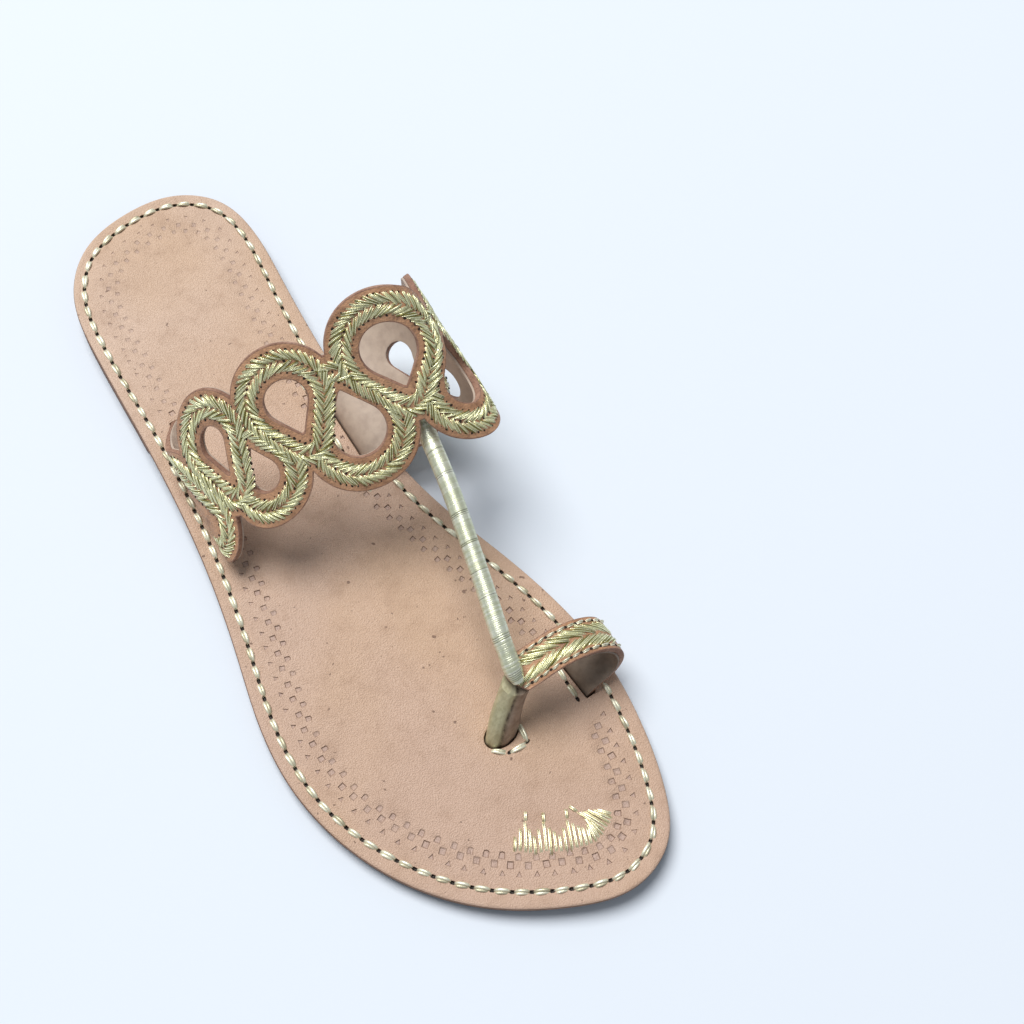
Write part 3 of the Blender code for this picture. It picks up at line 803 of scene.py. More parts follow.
def goldThread(name, bright, deep, metal, roughness, spread):
    # metal strip wound round a thread: each strand has its own share of bright and deep
    paint = Paint(name, bright)
    own = paint.maths("MULTIPLY", paint.attribute("strand"), 0.37)
    own = paint.maths("FRACT", paint.maths("ADD", own, paint.attribute("shade")))
    glints = paint.noise(1400.0, 3.0, 0.6)
    paint.coat(own, 0.50, 0.95, spread, deep)
    paint.coat(glints, 0.55, 0.75, 0.5 * spread, deep)
    paint.bump(paint.noise(5200.0, 1.0, 0.5), 0.3, 0.0002)
    return paint.done(paint.ramp(glints, 0.3, 0.7, roughness - 0.07, roughness + 0.12), metal)


def cordThread():
    # the wound cord: a pale metal wrap, with painted shade in the clefts where the turns part
    paint = Paint("cord thread", (0.80, 0.82, 0.69))
    glints = paint.noise(900.0, 4.0, 0.65)
    paint.lay(paint.attribute("shade"), (0.62, 0.65, 0.46))
    paint.coat(glints, 0.5, 0.8, 0.5, (0.58, 0.58, 0.34))
    # painted shade in the deep clefts between the turns
    paint.lay(paint.attribute("cleft"), (0.10, 0.09, 0.05))
    paint.bump(paint.noise(4200.0, 1.0, 0.5), 0.35, 0.0002)
    return paint.done(paint.ramp(glints, 0.3, 0.8, 0.30, 0.5), 0.6)


def postLeather():
    paint = Paint("post leather", (0.44, 0.41, 0.25))
    mottle = paint.noise(420.0, 6.0, 0.65)
    streaks = paint.noise(700.0, 5.0, 0.7, (1.0, 1.0, 0.22))
    paint.coat(streaks, 0.35, 0.7, 1.0, (0.60, 0.57, 0.38))
    bare = paint.mix(paint.ramp(mottle, 0.35, 0.7), (0.37, 0.275, 0.21), (0.24, 0.175, 0.13))
    paint.lay(paint.attribute("bare"), bare)
    # painted shade along the crease of the fold
    crease = paint.maths("MULTIPLY", paint.attribute("crease"), paint.ramp(streaks, 0.3, 0.7, 0.45, 1.0))
    paint.coat(crease, 0.2, 1.0, 1.0, (0.07, 0.05, 0.03))
    paint.bump(streaks, 0.25, 0.0005)
    return paint.done(0.45, 0.35)


# painted shade: the dark inside of an open needle hole
def paintedHoleShade():
    paint = Paint("needle hole", (0.012, 0.008, 0.005))
    paint.lay(paint.noise(2500.0), (0.035, 0.02, 0.012))
    return paint.done(0.9)


finishes = {
    "footbed": footbedLeather(),
    "footbedEdge": edgeLeather("footbed edge", (0.33, 0.17, 0.095), (0.16, 0.075, 0.04)),
    "outsole": edgeLeather("sole leather", (0.13, 0.07, 0.045), (0.045, 0.025, 0.018)),
    "underside": edgeLeather("sole underside", (0.40, 0.27, 0.17), (0.26, 0.15, 0.09), 700.0),
    "lift": edgeLeather("heel lift leather", (0.25, 0.14, 0.085), (0.11, 0.055, 0.035)),
    "strap": strapLeather(),
    "cut": cutLeather(),
    "lining": liningLeather("lining", (0.50, 0.40, 0.32), (0.40, 0.31, 0.25)),
    # the loop lining is a darker copy of the lining: painted shade under the toe loop
    "loopLining": liningLeather("loop lining in painted shade", (0.27, 0.205, 0.155), (0.18, 0.13, 0.095)),
    "gold": goldThread("gold thread", (1.0, 0.995, 0.66), (0.29, 0.265, 0.075), 0.56, 0.27, 1.0),
    "satin": goldThread("satin thread", (0.96, 0.92, 0.68), (0.60, 0.52, 0.26), 0.75, 0.34, 0.7),
    "seam": goldThread("seam thread", (0.90, 0.88, 0.70), (0.50, 0.45, 0.29), 0.55, 0.40, 0.75),
    "cord": cordThread(),
    "post": postLeather(),
    "hole": paintedHoleShade(),
}
print("finishes made")


# sole

seam = {
    "inset": 4.6, "leastInset": 3.2, "pitch": 5.25, "length": 4.25, "width": 1.18,
    "grooveDepth": 0.30, "grooveWidth": 1.0, "holeLong": 1.05, "holeWide": 0.58, "holeDepth": 0.8,
    "sunk": 0.10, "outerShift": 0.9, "holeCorners": 8, "holeFloor": 0.7,
}
stamps = {
    # distance from the seam, size, shape, place between two squares. Shapes list their corners in
    # degrees from the inward side.
    "rows": ((4.5, 1.7, "wedge", 0.5), (7.2, 2.4, "square", 0.0), (9.2, 2.1, "arch", 0.5)),
    "shapes": {"wedge": (0, 120, 240), "square": (45, 135, 225, 315), "arch": (0, 42, 130, 230, 318)},
    "middle": 7.2, "pitch": 4.62, "depth": 0.42, "radius": 0.6, "pressed": 0.72, "wide": 0.9,
    "heelFrom": 62.0, "heelShare": 0.85, "heelDepth": 0.4, "loopGap": (12.0, -82.0, -58.0),
    "drift": 0.13,        # how far a stamp strays from its place
    "twist": 0.06,
}


def besideSeam(offset=0.0):
    # a line at a fixed distance inwards of the seam, which runs nearer the edge outside and at the heel
    ring = soleOutline()
    outer = rampOf(ring[:, 0], -10.0, -35.0) * rampOf(ring[:, 1], -90.0, -60.0)
    heel = rampOf(ring[:, 1], 60.0, 100.0)
    inset = np.maximum(seam["leastInset"], seam["inset"] - seam["outerShift"] * outer - heel) + offset
    return ring + inwardOf(ring) * inset[:, None]


def fineSeam():
    ring = besideSeam()
    length = runOf(closeRing(ring))[-1]
    both = evenRing(ring, length / (2 * int(length / seam["pitch"])))
    return both[0::2], both[1::2]  # holes, and the middles of the stitches between them


seamHoles, seamMiddles = fineSeam()


def turned(points, turn, centre=(0.0, 0.0)):
    x, y = points
    cosine, sine = math.cos(turn), math.sin(turn)
    return np.stack([centre[0] + x * cosine - y * sine, centre[1] + x * sine + y * cosine], axis=1)


def ovalRing(centre, long, wide, corners, turn=0.0):
    angles = 2 * math.pi * (np.arange(corners) + 0.5) / corners
    return turned((long * np.cos(angles), wide * np.sin(angles)), turn, centre)


def holeMark(centre, turn):
    long, wide = seam["holeLong"], seam["holeWide"]
    sizes = (1.0, seam["holeFloor"])
    rings = [ovalRing(centre, long * size, wide * size, seam["holeCorners"], turn) for size in sizes]
    return {"rings": rings, "drops": [0.0, seam["holeDepth"]], "kind": "hole"}


def stampMarks():
    marks = []
    rng = np.random.default_rng(2)
    start, low, high = stamps["loopGap"]
    middle = evenRing(besideSeam(stamps["middle"]), stamps["pitch"])
    for offset, size, shape, phase in stamps["rows"]:
        row = middle + phase * (np.roll(middle, -1, axis=0) - middle)
        row = row + inwardOf(row) * (offset - stamps["middle"])
        corners = np.radians(stamps["shapes"][shape])
        for centre, normal in zip(row, inwardOf(row)):
            drift = rng.normal(0.0, stamps["drift"], 2)
            twist = rng.normal(0.0, stamps["twist"])
            weight = rng.random()
            if centre[0] > start and low < centre[1] < high:
                continue
            heel = centre[1] > stamps["heelFrom"]
            swell = 0.85 + 0.2 * rampOf(centre[1], -30.0, -90.0)
            radius = stamps["radius"] * size * swell * (stamps["heelShare"] if heel else 1.0)
            ahead, beside = np.cos(corners) * radius, np.sin(corners) * radius * stamps["wide"]
            spread = turned((ahead, beside), math.atan2(normal[1], normal[0]) + twist)
            depth = stamps["depth"] * (stamps["heelDepth"] if heel else 0.5 + 0.5 * weight)
            rings = [centre + drift + spread * level for level in (1.0, stamps["pressed"])]
            marks.append({"rings": rings, "drops": [0.0, depth], "kind": "mark"})
    return marks


def endSlot(row):
    # the upright slot that a strap's end stands in
    centre, lean = np.array(row[:2]), row[4]
    along = np.array([lean, 1.0]) / math.hypot(lean, 1.0)
    across = np.array([along[1], -along[0]])
    toe, heel = -band["toeHalf"] - band["slotPlay"], band["heelHalf"] + band["slotPlay"]
    corners = box((-slotHalf, toe), (slotHalf, heel))
    return evenRing([centre + along * y + across * x for x, y in corners], 1.2)


def loopSlot():
    middle = np.array(loopRows[-1][:2])
    half = np.array([slotHalf, loop["width"] / 2 + band["slotPlay"]])
    return evenRing(box(middle - half, middle + half), 1.0)


postSlot = {"long": 5.3, "wide": 3.6, "corners": 32}
slots = [
    endSlot(bandRows[0]), endSlot(bandRows[-1]), loopSlot(), ovalRing(postRows[0][:2], **postSlot),
]
# gentle unevenness of leather that has been wetted and pressed: height, across, along, start of each wave
waves = ((0.10, 0.11, 0.07, 1.0), (0.07, -0.09, 0.23, 0.0), (0.05, 0.31, 0.0, 0.4))


def wear(points):
    x, y = points[:, 0], points[:, 1]
    return sum(height * np.sin(across * x + along * y + start) for height, across, along, start in waves)


def footbedHeight(points):
    line = np.vstack([seamHoles, seamMiddles])
    part = 40  # points of the seam looked at together
    gap = np.min([nearest(points, line[i : i + part]) for i in range(0, len(line), part)], axis=0)
    clear = nearest(points, np.vstack([soleOutline(0.0, 3.0), *[slot[::2] for slot in slots]]))
    groove = seam["grooveDepth"] * np.exp(-((gap / seam["grooveWidth"]) ** 2) * 0.5)
    return sole["footbedThick"] + wear(points) * rampOf(clear, 3.0, 9.0) - groove


anchors = {
    # rows of stitches that hold the straps' ends under the footbed: outer, inner, and the loop's
    "rows": (
        ((-26.3, 49.5), (-26.6, 44.0), (-27.3, 35.4), (-29.5, 24.0)),
        ((11.4, 54.1), (10.4, 49.0), (9.2, 39.9), (8.3, 33.5), (7.2, 18.0), (6.8, 10.1)),
        ((18.7, -59.0), (18.1, -66.1), (17.2, -75.2)),
    ),
    "pitch": 5.3, "length": 4.3, "width": 1.1,
}
postStitches = (
    # from, to
    (-0.5, -71.0, -1.7, -76.5), (-2.1, -77.0, -7.2, -76.1), (-8.0, -75.7, -11.4, -72.6),
)
# the embroidered crescent's base line, and its stitches: share along it, length, heading in degrees,
# and whether a short stitch follows at its tip
crescentBase = (
    (-23.2, -97.8), (-18.8, -102.2), (-13.7, -105.6), (-8.4, -108.0), (-2.4, -109.5), (1.0, -109.1),
    (3.6, -107.9), (4.8, -105.4),
)
crescentRows = (
    (0.0, 3.1, 52, 0), (0.104, 8.8, 52, 1), (0.187, 5.2, 58, 0), (0.27, 8.8, 56, 1), (0.40, 5.0, 61, 0),
    (0.48, 8.9, 60, 1), (0.56, 6.4, 61, 0), (0.65, 5.0, 68, 0), (0.73, 7.4, 88, 0), (0.81, 10.0, 108, 1),
    (0.91, 8.2, 116, 0), (1.0, 4.0, 132, 0),
)
crescent = {"count": 24, "width": 1.12, "tipGap": -1.35, "tipLength": 3.3, "reach": 1.1, "sunk": 0.6}


def bendLine(points, step):
    flat = atHeight(points, 0.0)
    return evenPoints(splineLine(flat, 200) if len(flat) > 2 else flat, step)[:, :2]


def anchorPoints(row):
    line = bendLine(row, anchors["pitch"] / 2)
    return line[0::2], line[1::2]


def clearOfSlots(ring):
    gaps = [nearest(ring, slot).min() for slot in slots]
    return min(gaps) > plate["clear"] and not within(ring, slots, []).any()


def onSole(made, height):
    def rule(points):
        points[:, 2] += soleRise(points[:, 1]) + height
        return toWorld(points)

    movePoints(made, rule)
    return made


plate = {
    "stepX": 2.3, "stepY": 2.1,     # loose points of the footbed's faces
    "coarse": 4.0,                  # and of the layers below
    "clear": 0.9,                   # between marks or loose points and a slot
    "markClear": 1.9,               # between loose points and a mark
    "rail": 1.5,                    # extra points at both sides of the seam's groove
}


def makeSole():
    edge = soleOutline()
    marks = stampMarks()
    marks += [holeMark(place, turn) for place, turn in zip(seamHoles, headingsOf(seamHoles, True))]
    for row in anchors["rows"]:
        places = anchorPoints(row)[0]
        marks += [holeMark(place, turn) for place, turn in zip(places, headingsOf(places, False))]
    ends = np.array(postStitches)
    marks += [holeMark(place, 0.0) for place in (ends[0, :2], *ends[:, 2:])]
    marks = [mark for mark in marks if clearOfSlots(mark["rings"][0])]
    fill = gridPoints(edge, plate["stepX"], plate["stepY"])
    busy = np.vstack([np.mean(mark["rings"][0], axis=0) for mark in marks])
    fill = fill[nearest(fill, busy) > plate["markClear"]]
    rails = [evenRing(besideSeam(shift), sole["ringStep"]) for shift in (-plate["rail"], plate["rail"])]
    fill = np.vstack([fill, *rails, seamMiddles])
    for slot in slots:
        fill = fill[(nearest(fill, slot) > plate["clear"]) & ~inside(fill, slot)]
    thick = sole["footbedThick"]
    rim = [(0.9, thick), (0.45, thick - 0.08), (0.14, thick - 0.32), (0.0, thick - 0.75), (0.0, 0.25),
           (0.25, 0.0)]
    slotRim = [(0.45, thick), (0.12, thick - 0.12), (0.0, thick - 0.45), (0.0, 0.0)]
    footbed = buildPlate(
        "footbedLeather", edge, rim, fill, [finishes["footbed"], finishes["footbedEdge"]],
        slots, slotRim, marks, footbedHeight, lips=2)

    thick = sole["outsoleThick"]
    outline = soleOutline(sole["sideStep"])
    rim = [(0.25, thick), (0.0, thick - 0.3), (-0.05, thick * 0.5), (0.0, 0.6), (0.45, 0.12), (0.9, 0.0)]
    grid = gridPoints(outline, plate["coarse"], plate["coarse"])
    under = finishes["underside"]
    outsole = buildPlate("outsoleLeather", outline, rim, grid, [under, finishes["outsole"]])

    thick = sole["liftThick"]
    ring = outline[outline[:, 1] > sole["heelFront"] + sole["liftCorner"]]
    jump = norms(np.roll(ring, -1, axis=0) - ring)
    ring = np.roll(ring, -1 - int(np.argmax(jump)), axis=0)
    inner, outer = ring[0, 0], ring[-1, 0]
    count = int(abs(inner - outer) / sole["ringStep"])
    front = [(outer + (inner - outer) * (i + 0.5) / count, sole["heelFront"]) for i in range(count)]
    ring = np.vstack([ring, front])
    rim = [(0.15, thick), (0.0, thick - 0.2), (-0.03, thick * 0.5), (0.0, 0.5), (0.4, 0.1), (0.8, 0.0)]
    grid = gridPoints(ring, plate["coarse"], plate["coarse"])
    lift = buildPlate("heelLiftLeather", ring, rim, grid, [under, finishes["lift"]])
    movePoints(lift, toWorld)
    return onSole(footbed, footbedTop - sole["footbedThick"]), onSole(outsole, 0.0), lift


# strands of each bundle (across, from, to), sides, segments, radius, arch, dip of the ends
templates = {
    "seam": strandTemplate(
        "seamStitch", [(0.36, -0.5, 0.5), (-0.36, -0.5, 0.5)], 7, 9, 0.42, 0.24, 0.75, 1.0, 0.78),
    "arm": strandTemplate(
        "threadArm", [(-0.31, -0.5, 0.46), (0.0, -0.47, 0.5), (0.31, -0.5, 0.48)], 5, 3, 0.165, 0.05, 0.12),
    "satin": strandTemplate(
        "satinStitch", [(-0.20, -0.5, 0.49), (0.20, -0.49, 0.5)], 6, 6, 0.25, 0.30, 0.50),
    "dot": dotTemplate("needleHole"),
}

footbed, outsole, lift = makeSole()
print("sole made", len(footbed.data.polygons), "faces")


def makeSeam():
    made = stitchRow(
        "seamStitches", seamMiddles, headingsOf(seamMiddles, True), stitch=templates["seam"],
        size=(seam["length"], seam["width"], 0.95), finish=finishes["seam"],
        turn=0.06, turnPlay=0.06, sizePlay=0.06, seed=3)
    return onSole(made, footbedTop - seam["sunk"])


def makeAnchors():
    rows = [anchorPoints(row)[1] for row in anchors["rows"]]
    angles = [headingsOf(middles, False) for middles in rows]
    ends = np.array(postStitches)
    runs = ends[:, 2:] - ends[:, :2]
    places = np.vstack([*rows, (ends[:, 2:] + ends[:, :2]) / 2])
    longer = norms(runs) / anchors["length"] - 1.0
    extra = np.concatenate([np.zeros(len(places) - len(runs)), longer])
    angles = np.concatenate([*angles, np.arctan2(runs[:, 1], runs[:, 0])])
    made = stitchRow(
        "anchorStitches", places, angles, extra, stitch=templates["seam"],
        size=(anchors["length"], anchors["width"], 0.9), finish=finishes["seam"], turnPlay=0.04, seed=5)
    return onSole(made, footbedTop + 0.02)


def makeCrescent():
    line = bendLine(crescentBase, 0.1)
    shares = (np.arange(crescent["count"]) + 0.5) / crescent["count"]
    table = np.array(crescentRows, float).T
    lengths = crescent["reach"] * np.interp(shares, table[0], table[1])
    angles = np.radians(np.interp(shares, table[0], table[2]))
    ahead = np.stack([np.cos(angles), np.sin(angles)], axis=1)
    base = line[(shares * (len(line) - 1)).astype(int)]
    tips = [int(np.argmin(np.abs(shares - row[0]))) for row in crescentRows if row[3]]
    reach = lengths[tips] + crescent["tipGap"] + crescent["tipLength"] / 2
    middles = base + ahead * (lengths / 2 - crescent["sunk"] / 2)[:, None]
    places = np.vstack([middles, base[tips] + ahead[tips] * reach[:, None]])
    extra = np.concatenate([lengths, np.full(len(tips), crescent["tipLength"])]) - 1.0
    made = stitchRow(
        "crescentStitches", places, np.concatenate([angles, angles[tips]]), extra,
        stitch=templates["satin"], size=(1.0, crescent["width"], 0.95), finish=finishes["satin"],
        turnPlay=0.035, rollPlay=0.2, seed=7)
    return onSole(made, footbedTop)


seamStitches, anchorStitches, crescentStitches = makeSeam(), makeAnchors(), makeCrescent()
print("sole stitches made")


# instep band

def bandCells():
    drops = []
    for offset, side, lobeRadius, lobeReach, tipReach in teardropRows:
        for place in sorted({band["patternCentre"] - offset, band["patternCentre"] + offset}):
            circles = [(place, side * lobeReach, lobeRadius), (place, -side * tipReach, band["tipRadius"])]
            drops.append({"side": side, "circles": circles})
    farRows = [(bandStrap.length - along, across, radius) for along, across, radius in panelRows]
    return drops, [panelRows, farRows]


drops, panels = bandCells()


def bandSheet(name, shrink, low, high, lip, materials):
    edge = band["strip"] + band["outerMargin"] - shrink
    outers = [tightOutline(grown(drop["circles"], edge)) for drop in drops]
    outers += [tightOutline(panel, edge) for panel in panels]
    toe, heel = shrink - band["toeHalf"], band["heelHalf"] - shrink
    for start, stop in ((0.0, band["tongue"]), (bandStrap.length - band["tongue"], bandStrap.length)):
        outers.append(evenRing(box((start, toe), (stop, heel)), 1.5))
    holes = [tightOutline(grown(drop["circles"], -band["holeMargin"] + shrink)) for drop in drops]
    return bandStrap.dress(buildSheet(name, outers, holes, bandStrap.length, low, high, lip, materials))


def piecesOutside(ring, blockers, limits):
    # open stretches of a closed ring that lie outside the blockers and within the limits
    free = (ring[:, 0] > limits[0]) & (ring[:, 0] < limits[1]) & ~within(ring, blockers, [])
    if free.all():
        return [closeRing(ring)]
    first = int(np.argmin(free))
    ring, free = np.roll(ring, -first, axis=0), np.roll(free, -first)
    pieces = np.split(ring, np.flatnonzero(np.diff(free)) + 1)
    return [piece for piece in pieces[1::2] if len(piece) > 6]


zari = {
    # two rows of slanting arms that meet in V's along the middle of each strip
    "pitch": 1.62, "inner": 1.60, "outer": 4.80, "arm": (5.2, 0.98, 1.35), "angle": math.radians(35),
    "overlap": 0.9, "height": 1.30,
    "holes": (0.05, 3.2, 6.35), "holeSize": 0.25, "dotHeight": 0.04, "dotStretch": 1.3,
}


def zariPaths(level):
    def ringOf(drop):
        return tightOutline(grown(drop["circles"], level), step=0.4)

    lobesUp = [drop for drop in drops if drop["side"] > 0]
    paths = [closeRing(ringOf(drop)) for drop in lobesUp]
    blockers = [tightOutline(grown(drop["circles"], band["strip"] - zari["overlap"])) for drop in lobesUp]
    end = band["threadStart"] + 0.8
    rings = [ringOf(drop) for drop in drops if drop["side"] < 0]
    rings += [tightOutline(panel, level, step=0.4) for panel in panels]
    for ring in rings:
        paths += piecesOutside(ring, blockers, (end, bandStrap.length - end))
    return paths


def zariPoints(level):
    places, angles = [], []
    for path in zariPaths(level):
        line = evenPoints(path, zari["pitch"])
        whole = np.linalg.norm(path[0] - path[-1]) < 0.01
        places.append(line[:-1] if whole else line)
        angles.append(headingsOf(places[-1], whole))
    return np.vstack(places), np.concatenate(angles)


def makeDots(name, flat, size, **play):
    # open needle holes, as dark discs of painted shade just over the leather
    height = strapHalf + zari["dotHeight"]
    return stitchRow(
        name, atHeight(flat, height), np.zeros(len(flat)), stitch=templates["dot"],
        size=(size * zari["dotStretch"], size, 0.3), finish=finishes["hole"], **play)


def makeZari(name, level, turn, seed):
    flat, angles = zariPoints(level)
    made = stitchRow(
        name, atHeight(flat, zari["height"]), angles, stitch=templates["arm"], size=zari["arm"],
        finish=finishes["gold"], turn=turn, turnPlay=0.12, sizePlay=0.08, rollPlay=0.40, seed=seed)
    return bandStrap.dress(made)


def makeZariHoles():
    flat = np.vstack([zariPoints(level)[0] for level in zari["holes"]])
    made = makeDots("zariHoles", flat, zari["holeSize"], sizePlay=0.6, turnPlay=1.5, seed=15)
    return bandStrap.dress(made)


seamHeight = band["lining"] - strapHalf  # between the leather and its lining
bandLeather = bandSheet(
    "bandLeather", 0.0, seamHeight, strapHalf, 0.35, [finishes["strap"], finishes["cut"]])
bandLining = bandSheet(
    "bandLining", band["liningInset"], -strapHalf, seamHeight - 0.02, 0.15, [finishes["lining"]])
zariInner = makeZari("zariInner", zari["inner"], zari["angle"], 11)
zariOuter = makeZari("zariOuter", zari["outer"], -zari["angle"], 12)
zariHoles = makeZariHoles()
print("band made", len(zariInner.data.polygons) + len(zariOuter.data.polygons), "thread faces")


# toe loop, post and cord

def makeLoop():
    width, corner, taper, length = loop["width"] / 2, loop["corner"], loop["taper"], loopStrap.length
    circles = [(loop["tipStart"] + loop["tip"], 0.0, loop["tip"])]
    circles += [(taper, across, corner) for across in (width - corner, corner - width)]
    body = evenRing(box((taper - 0.4, -width), (length, width)), 0.9)
    outers = [tightOutline(circles, step=0.6), body]
    top = buildSheet("loopLeather", outers, [], length, 0.6 - strapHalf, strapHalf, 0.3,
                     [finishes["strap"], finishes["cut"]], 0.9, 2.0)
    under = buildSheet("loopLining", outers, [], length, -strapHalf, 0.58 - strapHalf, 0.15,
                       [finishes["loopLining"]], 0.9, 2.0)
    return loopStrap.dress(top), loopStrap.dress(under)


loopWork = {
    "across": 1.75, "pitch": 2.05, "arm": (8.0, 1.08, 1.35), "turn": 0.42,
    "runAcross": 4.0, "runPitch": 3.0, "run": (2.6, 0.52, 0.8), "runTurn": 0.14, "runEarly": 2.0,
    "holeSize": 0.38,
}


def makeLoopThreads():
    # long arms meeting in V's along the loop, and a running stitch with open needle holes by each edge; the
    # holes are dark discs of painted shade
    start, stop = loop["threads"]
    height, pitch, runPitch = strapHalf + 0.1, loopWork["pitch"], loopWork["runPitch"]
    places, angles, stitches = [], [], []
    for side in (1, -1):
        count = int((stop - start) / pitch)
        places += [(start + (i + 0.5) * pitch, side * loopWork["across"], height) for i in range(count)]
        angles += [-side * loopWork["turn"]] * count
        runStart = start - loopWork["runEarly"]
        count = int((stop - runStart) / runPitch)
        stitches += [(runStart + (i + 0.5) * runPitch, side * loopWork["runAcross"]) for i in range(count)]
    threads = stitchRow(
        "loopThreads", places, angles, stitch=templates["arm"], size=loopWork["arm"],
        finish=finishes["gold"], turnPlay=0.06, sizePlay=0.05, rollPlay=0.35, seed=21)
    edging = stitchRow(
        "loopEdging", atHeight(stitches, height - 0.05), np.full(len(stitches), loopWork["runTurn"]),
        stitch=templates["seam"], size=loopWork["run"], finish=finishes["seam"],
        turnPlay=0.12, sizePlay=0.08, seed=22)
    between = np.array(stitches) + (runPitch / 2, 0.0)
    dots = makeDots("loopHoles", between, loopWork["holeSize"], sizePlay=0.2, seed=23)
    return [loopStrap.dress(made) for made in (threads, edging, dots)]


post = {
    "corners": 56, "step": 0.7, "facets": (3.35, 4.95), "facetDepth": 0.965,
    "crease": 4.15, "creaseWidth": 0.22, "creaseDepth": 0.07,
    "bareEdge": 0.05, "bareTurn": 2.6, "bareFade": 0.2,   # the side without gilt begins at the crease
}


def makePost():
    # a folded leather strip: two flattened faces with a crease between, gilt on one side
    rows = evenPoints(splineLine(postRows, 120), post["step"])
    sides = [np.array([row[3], 0.0, 0.0]) for row in rows]
    ups = [np.array([0.0, row[4], row[4] * row[5]]) for row in rows]
    corners = post["corners"]

    def crease(turns):
        return np.exp(-(((turns - post["crease"]) / post["creaseWidth"]) ** 2))

    def facets(i, turns):
        swell = np.ones(len(turns))
        for facet in post["facets"]:
            swell = np.minimum(swell, post["facetDepth"] / np.maximum(np.cos(turns - facet), 0.3))
        return swell - post["creaseDepth"] * crease(turns)

    made = loft("toePostLeather", rows[:, :3], sides, ups, corners, [finishes["post"]], facets)
    turns = np.tile(2 * math.pi * np.arange(corners) / corners, len(rows))
    turns = np.concatenate([turns, [post["crease"]] * 2])
    past = turns - post["crease"]
    bare = 1.0 / (1.0 + np.exp(-past / post["bareEdge"]))
    bare *= 1.0 / (1.0 + np.exp((past - post["bareTurn"]) / post["bareFade"]))
    setAttribute(made, "bare", bare)
    # crease: where the painted shade of the fold goes
    setAttribute(made, "crease", crease(turns))
    movePoints(made, toWorld)
    return made


wrap = {
    "pitch": 0.52, "rings": 4, "groove": 0.035, "slant": 0.6, "corners": 30,
    "clusterEvery": 15,       # windings between clefts
    "clusterTurns": 3,        # clefts that stand together at most
    "lastClefts": (-9, -4),
    "bankRows": 6,            # in so many rows the cord turns level from lying flat to the band
}


def makeCord():
    tab = []
    for across, wide, high in tabRows:
        below = -(strapHalf + sole["gap"] + high)
        tab.append((*bandStrap.place([(cordPlace, across, below)])[0], wide, high))
    coarse = evenPoints(splineLine(tab + list(cordRows), 300), 4.0)
    ends = bandStrap.place([(cordPlace - 1.0, 0.0, 0.0), (cordPlace + 1.0, 0.0, 0.0)])
    under, level = (ends[1] - ends[0]) / 2.0, np.array([1.0, 0.0, 0.0])
    banks = np.maximum(0.0, 1.0 - np.arange(len(coarse)) / wrap["bankRows"])
    rows = splineLine(np.column_stack([coarse, banks]), 600)
    rows = evenPoints(rows, wrap["pitch"] / wrap["rings"])
    ahead = np.gradient(rows[:, :3], axis=0)
    ahead /= norms(ahead)[:, None]
    ups = np.cross(under * rows[:, 5:] + level * (1.0 - rows[:, 5:]), ahead)
    sides = np.cross(ahead, ups)
    sides *= (rows[:, 3] / norms(sides))[:, None]
    ups *= (rows[:, 4] / norms(ups))[:, None]
    rng = np.random.default_rng(4)
    windings = len(rows) // wrap["rings"] + 3
    cleft = np.zeros(windings)
    place = 4
    while place < windings:
        cluster = cleft[place : place + rng.integers(1, wrap["clusterTurns"] + 1)]
        cluster[:] = 0.5 + 0.5 * rng.random(len(cluster))
        place += int(wrap["clusterEvery"] * (0.4 + 1.1 * rng.random()))
    cleft[slice(*wrap["lastClefts"])] = 0.8
    depth = wrap["groove"] * (0.5 + rng.random(windings) + 1.6 * cleft)
    shades = rng.random(windings)

    def phase(i, turns):
        return i / wrap["rings"] + wrap["slant"] * np.cos(turns)

    def winding(where):
        return np.clip(where.astype(int), 0, windings - 1)

    def ridge(where):
        return 0.5 + 0.5 * np.cos(2 * math.pi * where)

    def dips(i, turns):
        where = phase(i, turns)
        return 1.0 - depth[winding(np.round(where))] * ridge(where) ** 3

    made = loft("wrappedCord", rows[:, :3], sides, ups, wrap["corners"], [finishes["cord"]], dips)
    turns = 2 * math.pi * np.arange(wrap["corners"]) / wrap["corners"]
    where = np.concatenate([phase(i, turns) for i in range(len(rows))] + [[0.0, 0.0]])
    # cleft: where the painted shade of the deep grooves goes
    setAttribute(made, "cleft", cleft[winding(np.round(where))] * ridge(where) ** 4)
    setAttribute(made, "shade", shades[winding(where)])
    movePoints(made, toWorld)
    return made


loopLeather, loopLining = makeLoop()
loopThreads, loopEdging, loopHoles = makeLoopThreads()
toePost, cord = makePost(), makeCord()
print("loop, post and cord made")


# pieces over the solids

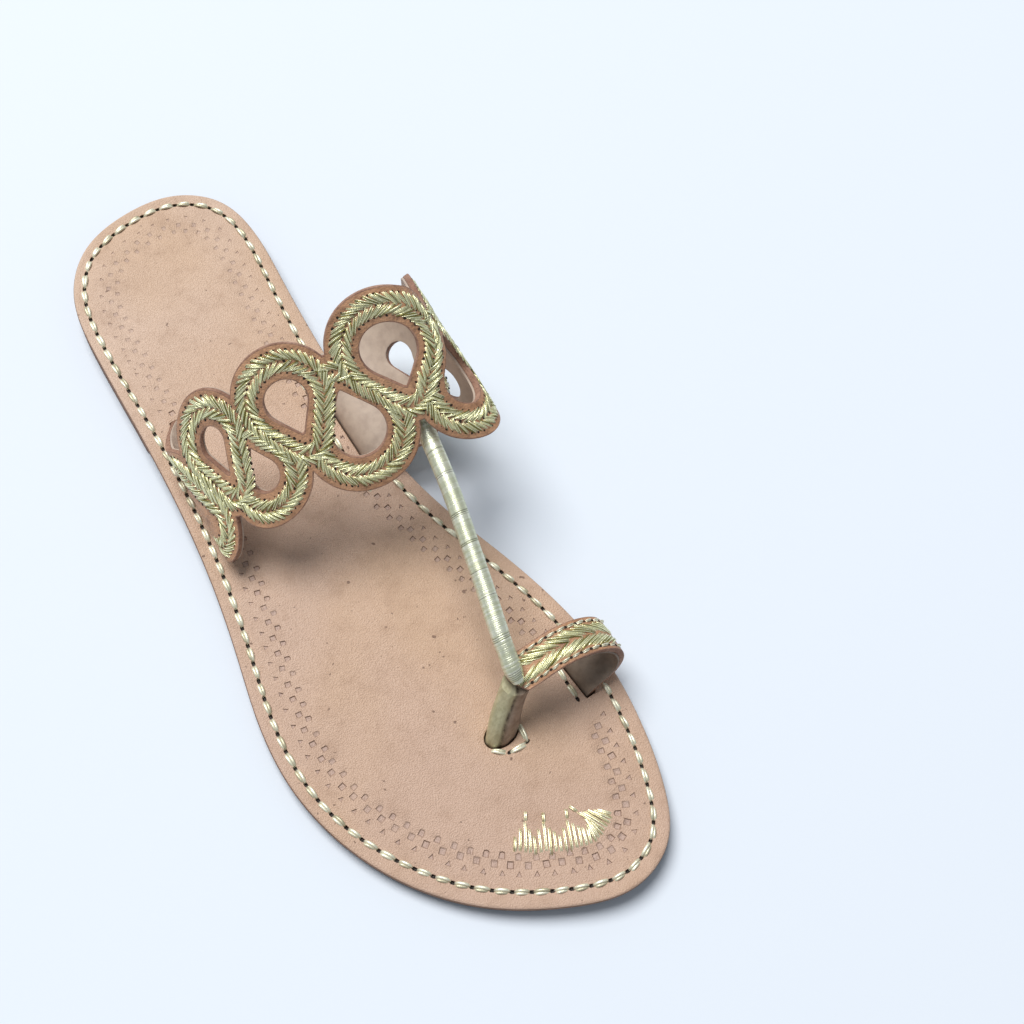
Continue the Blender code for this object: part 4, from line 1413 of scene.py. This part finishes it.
pieces = (
    (footbed, "footbed_leather", "footbed"), (outsole, "sole_leather", "outsole"),
    (lift, "lift_leather", "heel_lift"), (seamStitches, "gold_thread", None),
    (anchorStitches, "gold_thread", None), (crescentStitches, "gold_thread", None),
    (bandLeather, "strap_leather", "instep_band"), (bandLining, "lining", None),
    (zariInner, "gold_thread", None), (zariOuter, "gold_thread", None), (zariHoles, "strap_leather", None),
    (loopLeather, "strap_leather", "toe_loop"), (loopLining, "lining", None),
    (loopThreads, "gold_thread", None), (loopEdging, "gold_thread", None),
    (loopHoles, "strap_leather", None), (toePost, "post_leather", "toe_post"),
    (cord, "gold_thread", "front_cord"),
)
for template in templates.values():
    bpy.data.objects.remove(template)
for piece, slotName, node in pieces:
    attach(piece, "root")
    if node:
        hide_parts(node)


# stage, light and camera

def makeFloor():
    reach = 3.0
    corners = box((-reach, -reach), (reach, reach))
    paint = Paint("pale floor", (0.74, 0.80, 0.885))
    floor = meshObject("floor", atHeight(corners, 0.0), [(0, 1, 2, 3)], [paint.done(0.85, 0.0, 0.1)], 180)


light = {
    "place": (-0.27, 1.93, 3.88), "size": 2.7, "power": 208.0, "colour": (1.0, 0.985, 0.96),
    "sky": (0.86, 0.93, 1.0), "skyStrength": 0.29,
}


def makeLight():
    bpy.context.scene.view_settings.view_transform = "Standard"
    world = bpy.data.worlds.new("studio")
    bpy.context.scene.world = world
    world.use_nodes = True
    sky = {"Color": solid(light["sky"]), "Strength": light["skyStrength"]}
    setInputs(world.node_tree, world.node_tree.nodes["Background"], sky)
    window = bpy.data.lights.new("window", "AREA")
    window.shape, window.size = "DISK", light["size"]
    window.energy, window.color = light["power"], light["colour"]
    made = newObject("window", window)
    made.location = light["place"]
    made.rotation_euler = (-Vector(light["place"])).to_track_quat("-Z", "Y").to_euler()


def makeCamera():
    data = bpy.data.cameras.new("camera")
    data.lens, data.sensor_width = 56.27, 36.0
    data.clip_start, data.clip_end = 0.01, 20.0
    camera = newObject("camera", data)
    right = (0.78532, -0.60868, 0.11308)
    down = (-0.52595, -0.75230, -0.39677)
    ahead = (0.32658, 0.25211, -0.91093)
    place = (-0.10618, -0.13707, 0.42792)
    rows = [(right[i], -down[i], -ahead[i], place[i]) for i in range(3)]
    camera.matrix_world = Matrix([*rows, (0.0, 0.0, 0.0, 1.0)])
    bpy.context.scene.camera = camera


makeFloor()
makeLight()
makeCamera()
print("scene ready")
